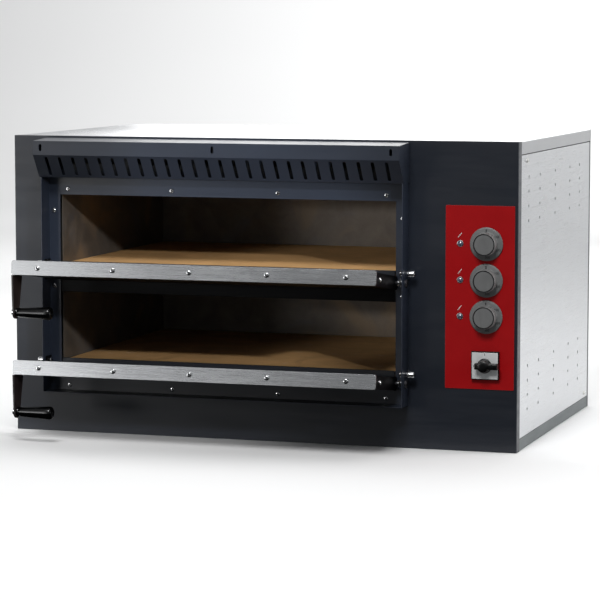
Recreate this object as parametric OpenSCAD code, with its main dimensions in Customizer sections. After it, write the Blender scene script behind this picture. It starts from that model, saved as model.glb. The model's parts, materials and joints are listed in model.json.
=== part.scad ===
// Twin-deck countertop pizza oven. Millimetres, +Z up.
// The origin is the middle of the underside. The oven's front faces -Y.
// Inside the modules X runs from the left edge, Y from the front panel's face and Z from the underside.

/* [Casing] */
// Overall width of the casing
body_w = 915; // [800:5:1100]
// Depth of the casing, front panel to back panel
body_d = 592; // [500:4:720]
// Height of the casing
body_h = 525; // [480:5:640]
// Thickness of the front panel and base tray sheet
sheet = 1.5; // [1:0.1:2]
// Thickness of the stainless covers
cover_sheet = 1.2; // [0.8:0.1:1.5]
// Depth of the front panel's folded edges
return_d = 21; // [15:1:30]
// Height of the base tray's sides
base_h = 21; // [15:1:30]
// Height of the top cover's lips
top_lip = 22; // [15:1:30]
// Shadow gap between casing panels
gap = 1; // [0.5:0.1:2]

/* [Chambers] */
// Left edge of the casing to the chamber opening
left_margin = 88; // [80:1:110]
// Chamber opening to the right edge of the casing
control_w = 211.5; // [195:0.5:240]
// Back of the chambers to the back of the casing
rear_space = 92; // [60:1:120]
// Height of the lower stone's top
lower_stone_z = 129.3; // [125:0.1:140]
// Steel between the lower opening and the upper stone's top
deck_gap = 50.7; // [48:0.1:60]
// Upper opening to the top of the casing
head_h = 103; // [95:0.5:120]
// Thickness of the refractory stones
stone_t = 14; // [10:1:16]
// Free space under each stone for the lower heating element
under_stone = 20; // [16:1:22]
// Free space over each opening for the roof heating element
over_opening = 12; // [11:0.5:13]
// Thickness of the chamber liner
liner_t = 1; // [0.8:0.1:1.2]
// Diameter of the heating element tube
element_d = 6.5; // [6:0.5:8]

/* [Door surround] */
// Distance the surround stands in front of the panel
surround_d = 38; // [36:1:44]
// Width of the jambs beside the openings
jamb_w = 21.5; // [20:0.5:24]
// Thickness of the surround's back plate
jamb_t = 3; // [2:0.5:3]
// Underside of the surround above the base
surround_z = 74; // [70:1:80]

/* [Vent hood] */
// Depth of the hood in front of the panel
hood_d = 66; // [60:1:80]
// Height of the hood's upright front face
hood_face = 24.5; // [22:0.5:30]
// Height of the hood's slanted face
hood_slant = 40; // [36:1:46]
// Number of vent slots
hood_slots = 26; // [12:1:30]
// Width of a vent slot
hood_slot_w = 6.2; // [4:0.1:8]

/* [Doors] */
// Door thickness
door_t = 23; // [20:0.5:23]
// Height of the stone's top over the door pivot
pivot_drop = 16.7; // [16:0.1:20]
// Door pivot in front of the panel
pivot_y = 17.3; // [17:0.1:18]
// Reach of the closed door above the opening
door_overlap = 18.8; // [14:0.1:18.8]
// Angle of the open door above the horizontal
open_angle = 8.2; // [0:0.1:15]
// Diameter of the pivot bolts
pivot_d = 8; // [6:1:10]
// Screws along each steel edge band
band_screws = 5; // [3:1:7]

/* [Lever and grip] */
// Drop from the door's middle plane to the grip
lever_drop = 76; // [70:1:80]
// Distance from the door's front edge back to the grip
lever_back = 23; // [18:1:30]
// Thickness of the lever plate
lever_t = 3; // [2:0.5:4]
// Length of the grip
grip_len = 66; // [60:1:110]
// Diameter of the grip's free end
grip_d = 22.5; // [18:0.5:24]

/* [Controls] */
// Width of the control plate
plate_w = 119.5; // [100:0.5:150]
// Height of the control plate
plate_h = 310.5; // [290:0.5:330]
// Underside of the control plate above the base
plate_z = 107; // [95:1:120]
// Control plate to the right edge of the casing
plate_edge = 5.5; // [4:0.5:12]
// Height of the lowest knob
knob_z = 230; // [225:1:240]
// Spacing of the knobs
knob_pitch = 61.5; // [60:0.5:65]
// Diameter of the knob's dial skirt
skirt_d = 57; // [50:1:58]
// Diameter of the knob's cap
cap_d = 36; // [30:1:44]
// Distance the knob stands in front of the plate
knob_h = 19; // [16:0.5:24]
// Height of the main switch
switch_z = 148; // [144:1:150]
// Side of the main switch plate
switch_w = 48; // [44:1:60]

/* [Hidden] */
$fn = 48;

// Heights of the decks
opening_h = (body_h - lower_stone_z - deck_gap - head_h) / 2;
deck_pitch = opening_h + deck_gap;
deck_z = [lower_stone_z + deck_pitch, lower_stone_z];
opening_x0 = left_margin;
opening_x1 = body_w - control_w;
chamber_d = body_d - rear_space;

// Door surround and its openings
surround_x0 = opening_x0 - jamb_w;
surround_x1 = opening_x1 + jamb_w;
opening_top = body_h - head_h;
hood_top = body_h - 3;
hood_z = hood_top - 3.5 - hood_face - hood_slant;
surround_top = hood_z - 0.3;
cut_x0 = opening_x0 - 4;
cut_x1 = opening_x1 + 4;
cut_z0 = lower_stone_z - 20;
cut_z1 = opening_top + 3;

// Side covers
side_x = gap / 2;
side_y0 = return_d + gap;
side_y1 = body_d - 11;
post_x = 20;
post_y = 44;

// Doors
door_len = opening_h + pivot_drop + door_overlap;
travel = 90 - open_angle;
plate_t = 3;
door_side = 15.5;
door_x0 = surround_x0 + sheet + door_side;
door_x1 = surround_x1 - sheet - door_side;
band_x0 = surround_x0 + sheet + 0.6;
band_x1 = surround_x1 - sheet - 5.5;
band_legs = 8;
skin = 1.2;
eye_r = 12;
grip_u = door_len - lever_back;
pivot_fit = 0.05;
hole_fit = 0.15;
stop_gap = 0.2;

// Controls
plate_x = body_w - plate_edge - plate_w;
knob_x = plate_x + 71;
lamp_x = plate_x + 25.5;
knob_rows = [knob_z + 2 * knob_pitch, knob_z + knob_pitch, knob_z];
plate_thick = 1.2;
shaft_d = 6;
lamp_d = 11.5;

// Colours
anthracite = [0.24, 0.26, 0.30];
stainless = [0.80, 0.81, 0.82];
galvanised = [0.66, 0.68, 0.70];
black = [0.05, 0.05, 0.055];

module placed() {
    translate([-body_w / 2, -body_d / 2, 0]) children();
}

// A profile drawn in Y and Z, drawn out along X
module along_x(x0, x1) {
    translate([x0, 0, 0]) rotate([90, 0, 90]) linear_extrude(x1 - x0) children();
}

// A profile drawn in X and Z, drawn out along Y
module along_y(y0, y1) {
    translate([0, y1, 0]) rotate([90, 0, 0]) linear_extrude(y1 - y0) children();
}

module block(lo, hi) {
    translate(lo) cube(hi - lo);
}

// A cylinder along X from x0 to x1
module rod_x(d, x0, x1, y, z) {
    translate([x0, y, z]) rotate([0, 90, 0]) cylinder(d = d, h = x1 - x0);
}

// A cylinder along Y from y0 to y1
module rod_y(d, y0, y1, x, z) {
    translate([x, y0, z]) rotate([-90, 0, 0]) cylinder(d = d, h = y1 - y0);
}

module rounded_rect(w, h, r) {
    translate([r, 0]) square([w - 2 * r, h]);
    translate([0, r]) square([w, h - 2 * r]);
    for (x = [r, w - r], y = [r, h - r]) translate([x, y]) circle(r);
}

// A rounded opening with its long side upright
module upright_slot(w, h) {
    square([w, h - w], center = true);
    for (s = [-1, 1]) translate([0, s * (h - w) / 2]) circle(d = w);
}

// A sheet trough with rounded lower edges, open at the top
module trough(w, h, t, r) {
    difference() {
        union() {
            translate([r, 0]) square([w - 2 * r, h]);
            translate([0, r]) square([w, h - r]);
            for (x = [r, w - r]) translate([x, r]) circle(r);
        }
        translate([t, t + r]) square([w - 2 * t, h]);
        translate([t + r, t]) square([w - 2 * t - 2 * r, h]);
    }
}

// Socket screw with a domed head: the head's underside is at the origin and the shank runs along +Y
module screw_y(d, head, len, high = 2.8) {
    rotate([-90, 0, 0]) cylinder(d = d, h = len);
    rotate([90, 0, 0]) difference() {
        cylinder(d1 = head, d2 = head * 0.7, h = high);
        translate([0, 0, high * 0.4]) cylinder(d = head * 0.38, h = head);
    }
}

// ---- Casing ----

tray_r = 3;
tray_w = body_w - 2 * side_x;
tray_in = sheet + side_x;
tray_y0 = sheet + 3.5;

module base_tray() {
    color(galvanised) placed() difference() {
        union() {
            translate([side_x, 0, 0]) along_y(side_y0, side_y1) trough(tray_w, base_h, sheet, tray_r);
            translate([tray_in, 0, 0]) along_y(tray_y0, body_d - 3)
                trough(body_w - 2 * tray_in, base_h, sheet, tray_r);
            block([side_x + 4, tray_y0, 0.2], [body_w - side_x - 4, tray_y0 + sheet, base_h]);
            block([side_x + 4, body_d - 3 - sheet, 0.2], [body_w - side_x - 4, body_d - 3, base_h]);
        }
        back_screw_holes(3.6);
        for (i = [0 : 7], y = [90, body_d - 200])
            translate([opening_x1 + 60 + i * 14, y, -1]) rounded_hole(6, 90);
        for (i = [0 : 11]) translate([opening_x0 + 20 + i * 14, body_d - 180, -1]) rounded_hole(6, 90);
    }
}

// A vent slot along Y, cut through a level sheet
module rounded_hole(w, len) {
    translate([w / 2, 0, 0]) cylinder(d = w, h = 4);
    translate([w / 2, len, 0]) cylinder(d = w, h = 4);
    cube([w, len, 4]);
}

module angle_post(x, y, sx, sy) {
    translate([x, y, base_h + 1]) scale_mirror(sx, sy) difference() {
        cube([post_x, post_y, body_h - base_h - 5]);
        translate([sheet, sheet, -1]) cube([post_x, post_y, body_h]);
    }
}

module scale_mirror(sx, sy) {
    mirror([sx < 0 ? 1 : 0, 0, 0]) mirror([0, sy < 0 ? 1 : 0, 0]) children();
}

frame_x0 = side_x + max(sheet + 0.2, cover_sheet + 0.5);
frame_x1 = body_w - frame_x0;
frame_y0 = side_y0 + 3;
frame_y1 = body_d - 5;
rail = 44;

module chassis_frame() {
    color(galvanised) placed() difference() {
        union() {
            angle_post(frame_x0, frame_y0, 1, 1);
            angle_post(frame_x1, frame_y0, -1, 1);
            angle_post(frame_x0, frame_y1, 1, -1);
            angle_post(frame_x1, frame_y1, -1, -1);
            for (z = [base_h + 1, body_h - 4 - rail], x = [frame_x0, frame_x1 - sheet])
                block([x, frame_y0, z], [x + sheet, frame_y1, z + rail]);
            for (y = [frame_y0, frame_y1 - sheet])
                block([frame_x0, y, body_h - 4 - rail], [frame_x1, y + sheet, body_h - 4]);
        }
        side_screw_holes(3.6);
        back_screw_holes(3.6);
    }
}

module panel_holes() {
    for (z = knob_rows) {
        rod_y(9, -5, 5, knob_x, z);
        rod_y(lamp_d - 2, -5, 5, lamp_x, z);
    }
    rod_y(26, -5, 5, knob_x, switch_z);
}

module front_panel() {
    color(anthracite) placed() difference() {
        union() {
            translate([0, 0, 0.5]) linear_extrude(body_h - 0.5) trough(body_w, return_d, sheet, 2.5);
            block([2, 0.5, body_h - sheet], [body_w - 2, 12, body_h]);
        }
        block([cut_x0, -1, cut_z0], [cut_x1, 3, cut_z1]);
        for (i = [0 : 4]) translate([hood_x0 + 40 + i * (hood_x1 - hood_x0 - 60) / 5, 0, 0])
            block([0, -1, hood_z + 22], [90, 3, hood_top - 24]);
        panel_holes();
        surround_screw_holes(3.3);
    }
}

module control_plate() {
    color([0.55, 0.07, 0.08]) placed() difference() {
        translate([plate_x, 0, plate_z]) along_y(-plate_thick, 0) rounded_rect(plate_w, plate_h, 2);
        panel_holes();
    }
}

module top_cover() {
    color(stainless) placed() union() {
        translate([side_x, 0, body_h]) mirror([0, 0, 1])
            along_y(side_y0, cover_y1) trough(tray_w, top_lip, cover_sheet, 2);
        block([side_x + 3, 12 + gap, body_h - cover_sheet], [body_w - side_x - 3, side_y0 + 1, body_h]);
    }
}

cover_y1 = body_d - 5;
reveal = 2 * gap;
side_z0 = base_h + gap;
side_z1 = body_h - top_lip - reveal;
vent_y = [side_y0 + 57, side_y0 + 142, (side_y0 + side_y1) / 2 - 15, side_y1 - 172, side_y1 - 87];
vent_pitch = 25;
vent_d = 6;

// Screws of one side cover: one at the top front and one at the bottom rear
function side_screws() = [[side_y0 + 42, side_z1 - 10], [side_y1 - 29.5, side_z0 + 9]];

module side_screw_holes(d) {
    for (p = side_screws()) {
        rod_x(d, -1, frame_x0 + 5, p[0], p[1]);
        rod_x(d, frame_x1 - 5, body_w + 1, p[0], p[1]);
    }
}

module side_panel(x) {
    color(stainless) placed() difference() {
        block([x, side_y0 + gap, side_z0], [x + cover_sheet, side_y1, side_z1]);
        side_screw_holes(4);
        for (y = vent_y, i = [0 : 3], z = [side_z0 + 43 + i * vent_pitch, side_z1 - 38 - i * vent_pitch])
            rod_x(vent_d, x - 1, x + 3, y, z);
    }
}

module left_side_panel() {
    side_panel(side_x);
}

module right_side_panel() {
    side_panel(body_w - side_x - cover_sheet);
}

gland_x = body_w - 120;
gland_z = 70;
inlet_hole = 22;

function back_screws() = [for (x = [14, body_w / 2, body_w - 14], z = [base_h - 8, body_h - top_lip - 14]) [x, z]];

module back_screw_holes(d) {
    for (p = back_screws()) rod_y(d, body_d - 12, body_d + 1, p[0], p[1]);
}

module back_panel() {
    color(anthracite) placed() difference() {
        union() {
            block([side_x, body_d - sheet, 1], [body_w - side_x, body_d, body_h - 0.5]);
            for (x = [side_x, body_w - side_x - sheet]) {
                block([x, side_y1 + gap, 1], [x + sheet, body_d - 0.5, side_z1]);
                block([x, cover_y1 + gap / 2, 1], [x + sheet, body_d - 0.5, body_h - 0.5]);
            }
        }
        back_screw_holes(4);
        rod_y(inlet_hole, body_d - 5, body_d + 1, gland_x, gland_z);
        for (i = [0 : 9], z = [base_h + 110, body_h - top_lip - 80])
            translate([body_w - 250 + i * 18, 0, z]) along_y(body_d - 3, body_d) upright_slot(6, 44);
        for (i = [0 : 19]) translate([opening_x0 + i * 18, 0, body_h - top_lip - 80])
            along_y(body_d - 3, body_d) upright_slot(6, 44);
    }
}

// ---- Hood and surround ----

hood_x0 = surround_x0 - 2.5;
hood_x1 = surround_x1 + 1.5;
hood_t = 1.2;
hood_back = surround_d;
slant_run = hood_d - hood_back;
slant_len = sqrt(slant_run * slant_run + hood_slant * hood_slant);
slant_angle = atan(slant_run / hood_slant);
slot_pitch = (hood_x1 - hood_x0 - 47) / (hood_slots - 1);

// The hood's outline in Y and Z, drawn in by t
module hood_outline(t) {
    lean = t * tan(slant_angle / 2);
    foot = t * (1 - sin(slant_angle)) / cos(slant_angle);
    polygon([[0, hood_top - t], [-hood_d + t, hood_top - 3.5 - t], [-hood_d + t, hood_z + hood_slant + lean],
             [-hood_back + foot, hood_z + t], [0, hood_z + t]]);
}

module vent_hood() {
    color(anthracite) placed() difference() {
        along_x(hood_x0, hood_x1) hood_outline(0);
        difference() {
            along_x(hood_x0 + hood_t, hood_x1 - hood_t) hood_outline(hood_t);
            block([hood_x0, -hood_t, 0], [hood_x1, 1, hood_z + 12]);
            block([hood_x0, -hood_t, hood_top - 14], [hood_x1, 1, body_h]);
        }
        for (i = [0 : hood_slots - 1])
            translate([hood_x0 + 23.5 + i * slot_pitch, -(hood_d + hood_back) / 2, hood_z + hood_slant / 2])
                rotate([slant_angle, 0, 0]) along_y(-4, 4) upright_slot(hood_slot_w, slant_len * 0.82);
        for (x = [hood_x0 + 14, (hood_x0 + hood_x1) / 2, hood_x1 - 15])
            translate([x, 0, hood_top - 15]) along_y(-hood_d - 2, -hood_d + 3) upright_slot(5, 12);
    }
}

upper_open = [deck_z[0], opening_top];
lower_open = [deck_z[1], deck_z[1] + opening_h];
screw_cols = [for (i = [0 : 3]) surround_x0 + 37 + i * (surround_x1 - surround_x0 - 75) / 3];
lintel_screw_z = opening_top + 10;
sill_screw_z = surround_z + 10;

function surround_screw_points() = concat(
    [for (x = screw_cols, z = [lintel_screw_z, sill_screw_z]) [x, z]],
    [for (x = [surround_x0 + 9.5, surround_x1 - 9.5], z = [upper_open[1] - 29, upper_open[0] - 41]) [x, z]]);

module surround_screw_holes(d) {
    for (p = surround_screw_points()) rod_y(d, -jamb_t - 1, 4, p[0], p[1]);
}

module door_surround() {
    color([0.19, 0.21, 0.24]) placed() difference() {
        union() {
            block([surround_x0, -jamb_t, surround_z], [surround_x1, 0, surround_top]);
            for (x = [surround_x0, surround_x1 - sheet])
                block([x, -surround_d, surround_z], [x + sheet, -0.1, surround_top]);
            block([surround_x0, -surround_d, surround_z], [surround_x1, -0.1, surround_z + sheet]);
        }
        block([opening_x0, -jamb_t - 1, lower_open[0] - 16], [opening_x1, 1, upper_open[1]]);
        surround_screw_holes(3.3);
        for (z = deck_z) {
            rod_x(pivot_d + 0.3, surround_x0 - 1, surround_x1 + 1, -pivot_y, z - pivot_drop);
            rod_x(clamp_d + 0.3, surround_x0 - 1, surround_x1 + 1, -pivot_y, z - pivot_drop + clamp_rise);
        }
    }
}

// Cast front of the deck between the two openings
module middle_rail() {
    color(black) placed() difference() {
        block([opening_x0 + 0.5, -1.5, lower_open[1]], [opening_x1 - 0.5, 4.5, upper_open[0] - 16]);
        block([opening_x0, 0.5, lower_open[1] + 2], [opening_x1, 5, upper_open[0] - 18]);
    }
}

// Dark bars that hold the front edges of the stones
module stone_sills() {
    color([0.16, 0.17, 0.19]) placed() for (z = deck_z)
        along_x(opening_x0 + 2, opening_x1 - 2)
            polygon([[-2.5, z - stone_t - 1.5], [12, z - stone_t - 1.5], [12, z - stone_t], [-1, z - stone_t],
                     [-1, z - 3.5], [5.5, z - 3.5], [5.5, z + 2.5], [-2.5, z + 2.5]]);
}

module compartment_wall() {
    x = opening_x1 + 30;
    color(galvanised) placed() difference() {
        union() {
            block([x, frame_y0 + 3, base_h + 3], [x + sheet, frame_y1 - 3, body_h - 28]);
            block([x, frame_y0 + 3, base_h + 3], [x + 12, frame_y0 + 3 + sheet, body_h - 28]);
        }
        for (p = bulb_points) rod_x(8, x - 1, x + 3, p[0], p[1]);
    }
}

// ---- Hinge hardware on the surround ----

clamp_d = 6;
clamp_rise = 16.3;
bracket_t = 3;

// Puts its children at both ends of each deck's hinge line, with +X pointing outwards
module at_hinges() {
    for (z = deck_z) {
        translate([surround_x1 - sheet, -pivot_y, z - pivot_drop]) children();
        translate([surround_x0 + sheet, -pivot_y, z - pivot_drop]) mirror([1, 0, 0]) children();
    }
}

module hinge_brackets() {
    color(black) placed() at_hinges() difference() {
        along_x(-bracket_t, 0) translate([-11, -11]) rounded_rect(22, clamp_rise + 19, 3);
        rod_x(pivot_d + 0.3, -5, 1, 0, 0);
        rod_x(clamp_d + 0.3, -5, 1, 0, clamp_rise);
    }
}

module hex_x(af, x0, x1, y, z) {
    translate([x0, y, z]) rotate([0, 90, 0]) cylinder(d = af / cos(30), h = x1 - x0, $fn = 6);
}

module hinge_clamp_bolts() {
    color([0.86, 0.87, 0.88]) placed() at_hinges() {
        rod_x(clamp_d, -bracket_t - 0.5, 14, 0, clamp_rise);
        hex_x(10, -bracket_t - 5, -bracket_t, 0, clamp_rise);
        difference() {
            rod_x(10.5, sheet, sheet + 16, 0, clamp_rise);
            hex_x(5, sheet + 10, sheet + 17, 0, clamp_rise);
        }
    }
}

module pivot_bolts() {
    color([0.07, 0.07, 0.075]) placed() at_hinges() {
        rod_x(pivot_d, -door_side - plate_t + 0.2, sheet + 0.5, 0, 0);
        difference() {
            rod_x(15, sheet, sheet + 3.5, 0, 0);
            hex_x(5, sheet + 1.5, sheet + 4, 0, 0);
        }
    }
}

// Slotted nuts that lock the pivot bolts to the hinge brackets
module pivot_nuts() {
    nut_x0 = -bracket_t - 8.5;
    color([0.80, 0.80, 0.78]) placed() at_hinges() difference() {
        union() {
            hex_x(13, nut_x0 + 3, -bracket_t - 1.5, 0, 0);
            rod_x(12, nut_x0, nut_x0 + 3.2, 0, 0);
            rod_x(18, -bracket_t - 1.5, -bracket_t, 0, 0);
        }
        rod_x(pivot_d + 0.1, nut_x0 - 1, 1, 0, 0);
        for (a = [0, 60, 120]) translate([nut_x0 - 1, 0, 0]) rotate([a, 0, 0])
            translate([0, -10, -1.2]) cube([3.6, 20, 2.4]);
    }
}

module surround_screws() {
    color([0.75, 0.76, 0.78]) placed() for (p = surround_screw_points())
        translate([p[0], -jamb_t, p[1]]) screw_y(3.2, 8, 6.5, 1.3);
}

module casing_screws() {
    color([0.62, 0.63, 0.65]) placed() {
        for (p = side_screws()) {
            translate([side_x, p[0], p[1]]) rotate([0, 0, -90]) screw_y(3.4, 8, 8);
            translate([body_w - side_x, p[0], p[1]]) rotate([0, 0, 90]) screw_y(3.4, 8, 8);
        }
        for (p = back_screws()) translate([p[0], body_d, p[1]]) rotate([0, 0, 180]) screw_y(3.4, 8, 8);
    }
}

// ---- Chambers ----

liner_x0 = opening_x0 + 0.5;
liner_x1 = opening_x1 - 0.5;
liner_y0 = 5;
liner_y1 = liner_y0 + chamber_d;
runs = 6;
run_pitch = (chamber_d - 120) / (runs - 1);
run_y = [for (i = [0 : runs - 1]) liner_y0 + 60 + i * run_pitch];
terminal_x = liner_x1 + 14;
bulb_d = 4;
bulb_y = liner_y0 + 60 + (runs / 2 - 0.5) * run_pitch;

function roof_z(z) = z + opening_h + over_opening - 5.5;
function floor_z(z) = z - stone_t - under_stone / 2;

bulb_points = [[bulb_y, roof_z(deck_z[0])], [bulb_y, floor_z(deck_z[0])], [bulb_y, roof_z(deck_z[1])]];

module wall_passages(x, fit) {
    for (z = deck_z, h = [roof_z(z), floor_z(z)], y = [run_y[0], run_y[runs - 1]])
        rod_x(element_d + fit, x - 2, terminal_x + 2, y, h);
    for (p = bulb_points) rod_x(bulb_d + fit, x - 2, terminal_x + 20, p[0], p[1]);
}

module chamber_liner(z) {
    low = z - stone_t - under_stone;
    high = z + opening_h + over_opening;
    color([0.42, 0.39, 0.36]) placed() difference() {
        union() {
            difference() {
                block([liner_x0, liner_y0, low - liner_t], [liner_x1, liner_y1, high + liner_t]);
                block([liner_x0 + liner_t, liner_y0 - 1, low], [liner_x1 - liner_t, liner_y1 - liner_t, high]);
            }
            for (x = [liner_x0 + 0.5, liner_x1 - 10.5])
                block([x, liner_y0 + 9, z - stone_t - 1.5], [x + 10, liner_y1 - 0.5, z - stone_t]);
        }
        wall_passages(liner_x1, 1);
    }
}

module stone(z) {
    color([0.76, 0.60, 0.42]) placed()
        block([liner_x0 + 2, liner_y0 + 1, z - stone_t], [liner_x1 - 2, liner_y1 - 3, z]);
}

module half_bend(r, d) {
    rotate_extrude(angle = 180) translate([r, 0]) circle(d = d);
}

// One tube in level runs joined by bends, with both ends out through the right wall
module heating_element(z) {
    r = run_pitch / 2;
    x0 = liner_x0 + 20 + r;
    x1 = liner_x1 - 20 - r;
    for (i = [0 : runs - 1]) rod_x(element_d, x0, i == 0 || i == runs - 1 ? terminal_x : x1, run_y[i], z);
    for (i = [0 : 2 : runs - 2]) translate([x0, run_y[i] + r, z]) rotate([0, 0, 90]) half_bend(r, element_d);
    for (i = [1 : 2 : runs - 3]) translate([x1, run_y[i] + r, z]) rotate([0, 0, -90]) half_bend(r, element_d);
}

module heating_elements(z) {
    color([0.30, 0.29, 0.28]) placed() {
        heating_element(roof_z(z));
        heating_element(floor_z(z));
    }
}

slab_x0 = frame_x0 + post_x + 2;
slab_x1 = opening_x1 + 28;
slab_y0 = frame_y0 + 3;
slab_y1 = body_d - 30;
slab_low = lower_stone_z - stone_t - under_stone - liner_t;
slab_high = opening_top + over_opening + liner_t;

module insulation_slabs() {
    color([0.72, 0.66, 0.42]) placed() difference() {
        union() {
            block([slab_x0, slab_y0, 3], [slab_x1, slab_y1, slab_low - 1]);
            block([slab_x0, slab_y0, slab_high + 1], [slab_x1, slab_y1, body_h - 26]);
            block([slab_x0, slab_y0, slab_low], [liner_x0 - 1, liner_y1, slab_high]);
            block([liner_x1 + 1, slab_y0, slab_low], [slab_x1, liner_y1, slab_high]);
            block([slab_x0, liner_y1 + 1, slab_low], [slab_x1, slab_y1, slab_high]);
        }
        wall_passages(liner_x1, 2);
    }
}

// ---- Controls ----

bushing_d = 8.5;
bore_d = shaft_d + 2 * pivot_fit;
knob_y = -plate_thick - 0.4;

module thermostat(z) {
    color([0.75, 0.74, 0.70]) placed() difference() {
        union() {
            block([knob_x - 18, sheet + 0.5, z - 18], [knob_x + 18, 32, z + 18]);
            block([knob_x - 25, sheet, z - 9], [knob_x + 25, sheet + 1.2, z + 9]);
            rod_y(bushing_d, -plate_thick, 3, knob_x, z);
        }
        rod_y(bore_d, -5, 12, knob_x, z);
    }
}

// A thin tube along a path of straight runs
module tube_path(points, d) {
    for (i = [0 : len(points) - 2]) {
        v = points[i + 1] - points[i];
        translate(points[i]) rotate([0, acos(v[2] / norm(v)), atan2(v[1], v[0])]) cylinder(d = d, h = norm(v));
    }
    for (p = points) translate(p) sphere(d = d);
}

// Sensing bulbs in the chambers, each on a fine tube from its thermostat
module thermostat_bulbs() {
    tube_d = 1.6;
    color([0.72, 0.45, 0.30]) placed() for (i = [0 : 2]) {
        p = bulb_points[i];
        z = knob_rows[i];
        x = knob_x - 8 + i * 8;
        rod_x(bulb_d, liner_x1 - 110, terminal_x, p[0], p[1]);
        tube_path([[terminal_x, p[0], p[1]], [x, p[0], p[1]], [x, p[0], z], [x, 33.2, z]], tube_d);
    }
}

module knob_shaft(z) {
    color([0.70, 0.71, 0.72]) placed() rod_y(shaft_d, knob_y - 10, 10, knob_x, z);
}

module knob(z) {
    skirt_t = 3.2;
    color([0.42, 0.44, 0.45]) placed() translate([knob_x, knob_y, z]) rotate([90, 0, 0]) difference() {
        union() {
            rotate_extrude($fn = 96) polygon([[0, 0], [skirt_d / 2, 0], [skirt_d / 2, 1.4],
                [skirt_d / 2 - 2, skirt_t], [cap_d / 2 + 0.6, skirt_t], [cap_d / 2, skirt_t + 0.6],
                [cap_d / 2 - 1, knob_h - 1.6], [cap_d / 2 - 2.6, knob_h], [0, knob_h]]);
            translate([-1, cap_d / 2 - 9, knob_h - 1]) cube([2, 7, 1.6]);
        }
        translate([0, 0, -1]) cylinder(d = bore_d, h = 11.2);
    }
}

module pilot_lamp(z) {
    color([0.45, 0.52, 0.58]) placed() translate([lamp_x, 0, z]) rotate([90, 0, 0]) {
        translate([0, 0, -24]) cylinder(d = lamp_d - 2.3, h = 24 + plate_thick);
        translate([0, 0, -sheet - 4]) cylinder(d = lamp_d + 3, h = 4, $fn = 6);
        translate([0, 0, plate_thick]) rotate_extrude() polygon([[0, 0], [lamp_d / 2, 0], [lamp_d / 2, 0.8],
            [lamp_d / 2 - 0.8, 1.6], [lamp_d / 2 - 2.2, 2.4], [0, 2.8]]);
    }
}

switch_base = 7;

module main_switch_plate() {
    color([0.90, 0.90, 0.89]) placed() difference() {
        union() {
            translate([knob_x - switch_w / 2, 0, switch_z - switch_w / 2])
                along_y(-plate_thick - switch_base, -plate_thick) rounded_rect(switch_w, switch_w, 2.5);
            translate([knob_x - switch_w / 2 + 1.5, 0, switch_z - switch_w / 2 + 1.5])
                along_y(-plate_thick - switch_base - 1.2, -plate_thick - 1)
                    rounded_rect(switch_w - 3, switch_w - 3, 2);
        }
        rod_y(bore_d + 2, -20, 0, knob_x, switch_z);
    }
}

module main_switch_body() {
    color(black) placed() difference() {
        union() {
            rod_y(25, -plate_thick, sheet + 3, knob_x, switch_z);
            block([knob_x - 22, sheet + 0.5, switch_z - 22], [knob_x + 22, 55, switch_z + 22]);
            for (i = [0 : 3], s = [-1, 1])
                block([knob_x - 20 + i * 10, 22, switch_z + s * 24 - 3], [knob_x - 12 + i * 10, 50, switch_z + s * 24 + 3]);
        }
        rod_y(bore_d + 2, -5, 14, knob_x, switch_z);
    }
}

module main_switch_handle() {
    y0 = -plate_thick - switch_base - 1.5;
    bar_w = 12;
    tip = 19;
    tail = 9;
    color([0.04, 0.04, 0.045]) placed() translate([knob_x, y0, switch_z]) rotate([90, 0, 0]) {
        translate([0, 0, -14]) cylinder(d = shaft_d + 2, h = 15);
        cylinder(d = 24, h = 3.5);
        difference() {
            translate([0, 0, 1]) linear_extrude(15) {
                translate([-tail, -bar_w / 2]) square([tip + tail, bar_w]);
                translate([-tail, 0]) circle(d = bar_w);
                translate([tip, 0]) circle(d = bar_w);
            }
            translate([tip + 4.5, -0.8, 12]) rotate([0, 25, 0]) cube([8, 1.6, 8]);
        }
    }
}

module terminal_block() {
    color([0.86, 0.85, 0.80]) placed() difference() {
        block([gland_x - 40, body_d - 90, base_h - 15], [gland_x + 30, body_d - 66, base_h + 8]);
        for (i = [0 : 5]) translate([gland_x - 34 + i * 11.6, 0, base_h - 4]) {
            rod_y(4.5, body_d - 91, body_d - 65, 0, 0);
            translate([0, body_d - 78, 4]) cylinder(d = 6, h = 10);
        }
    }
}

module cable_gland() {
    color(black) placed() difference() {
        union() {
            rod_y(inlet_hole - 0.4, body_d - 14, body_d + 14, gland_x, gland_z);
            translate([gland_x, body_d, gland_z]) rotate([-90, 0, 0]) cylinder(d = 28, h = 5, $fn = 6);
            translate([gland_x, body_d + 5.5, gland_z]) rotate([-90, 0, 0]) cylinder(d1 = 26, d2 = 20, h = 12);
            translate([gland_x, body_d - sheet, gland_z]) rotate([90, 0, 0]) cylinder(d = 29, h = 4.5, $fn = 6);
        }
        rod_y(12, body_d - 20, body_d + 20, gland_x, gland_z);
    }
}

// ---- Doors ----
// A door is drawn shut, with its pivot at the origin, its outer face at -Y and its free edge up.

lever_x0 = surround_x0 + sheet + 1;
lever_x1 = lever_x0 + lever_t;
end_r = 11;
boss_d = 12;
lever_screws = [door_len - 32, door_len - 16];
plate_screw_u = door_len - 56;
body_u0 = -5;
body_u1 = door_len - 2;
band_proud = 1;

// Hangs a door on its pivot and swings it open by a
module hung(z, a = travel) {
    placed() translate([0, -pivot_y, z - pivot_drop]) rotate([a, 0, 0]) children();
}

function band_screw_x() = [for (i = [0 : band_screws - 1])
    band_x0 + 48 + i * (band_x1 - band_x0 - 100) / (band_screws - 1)];

module band_screw_holes(d) {
    for (x = band_screw_x()) translate([x, 0, door_len - 12]) cylinder(d = d, h = 20);
}

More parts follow.
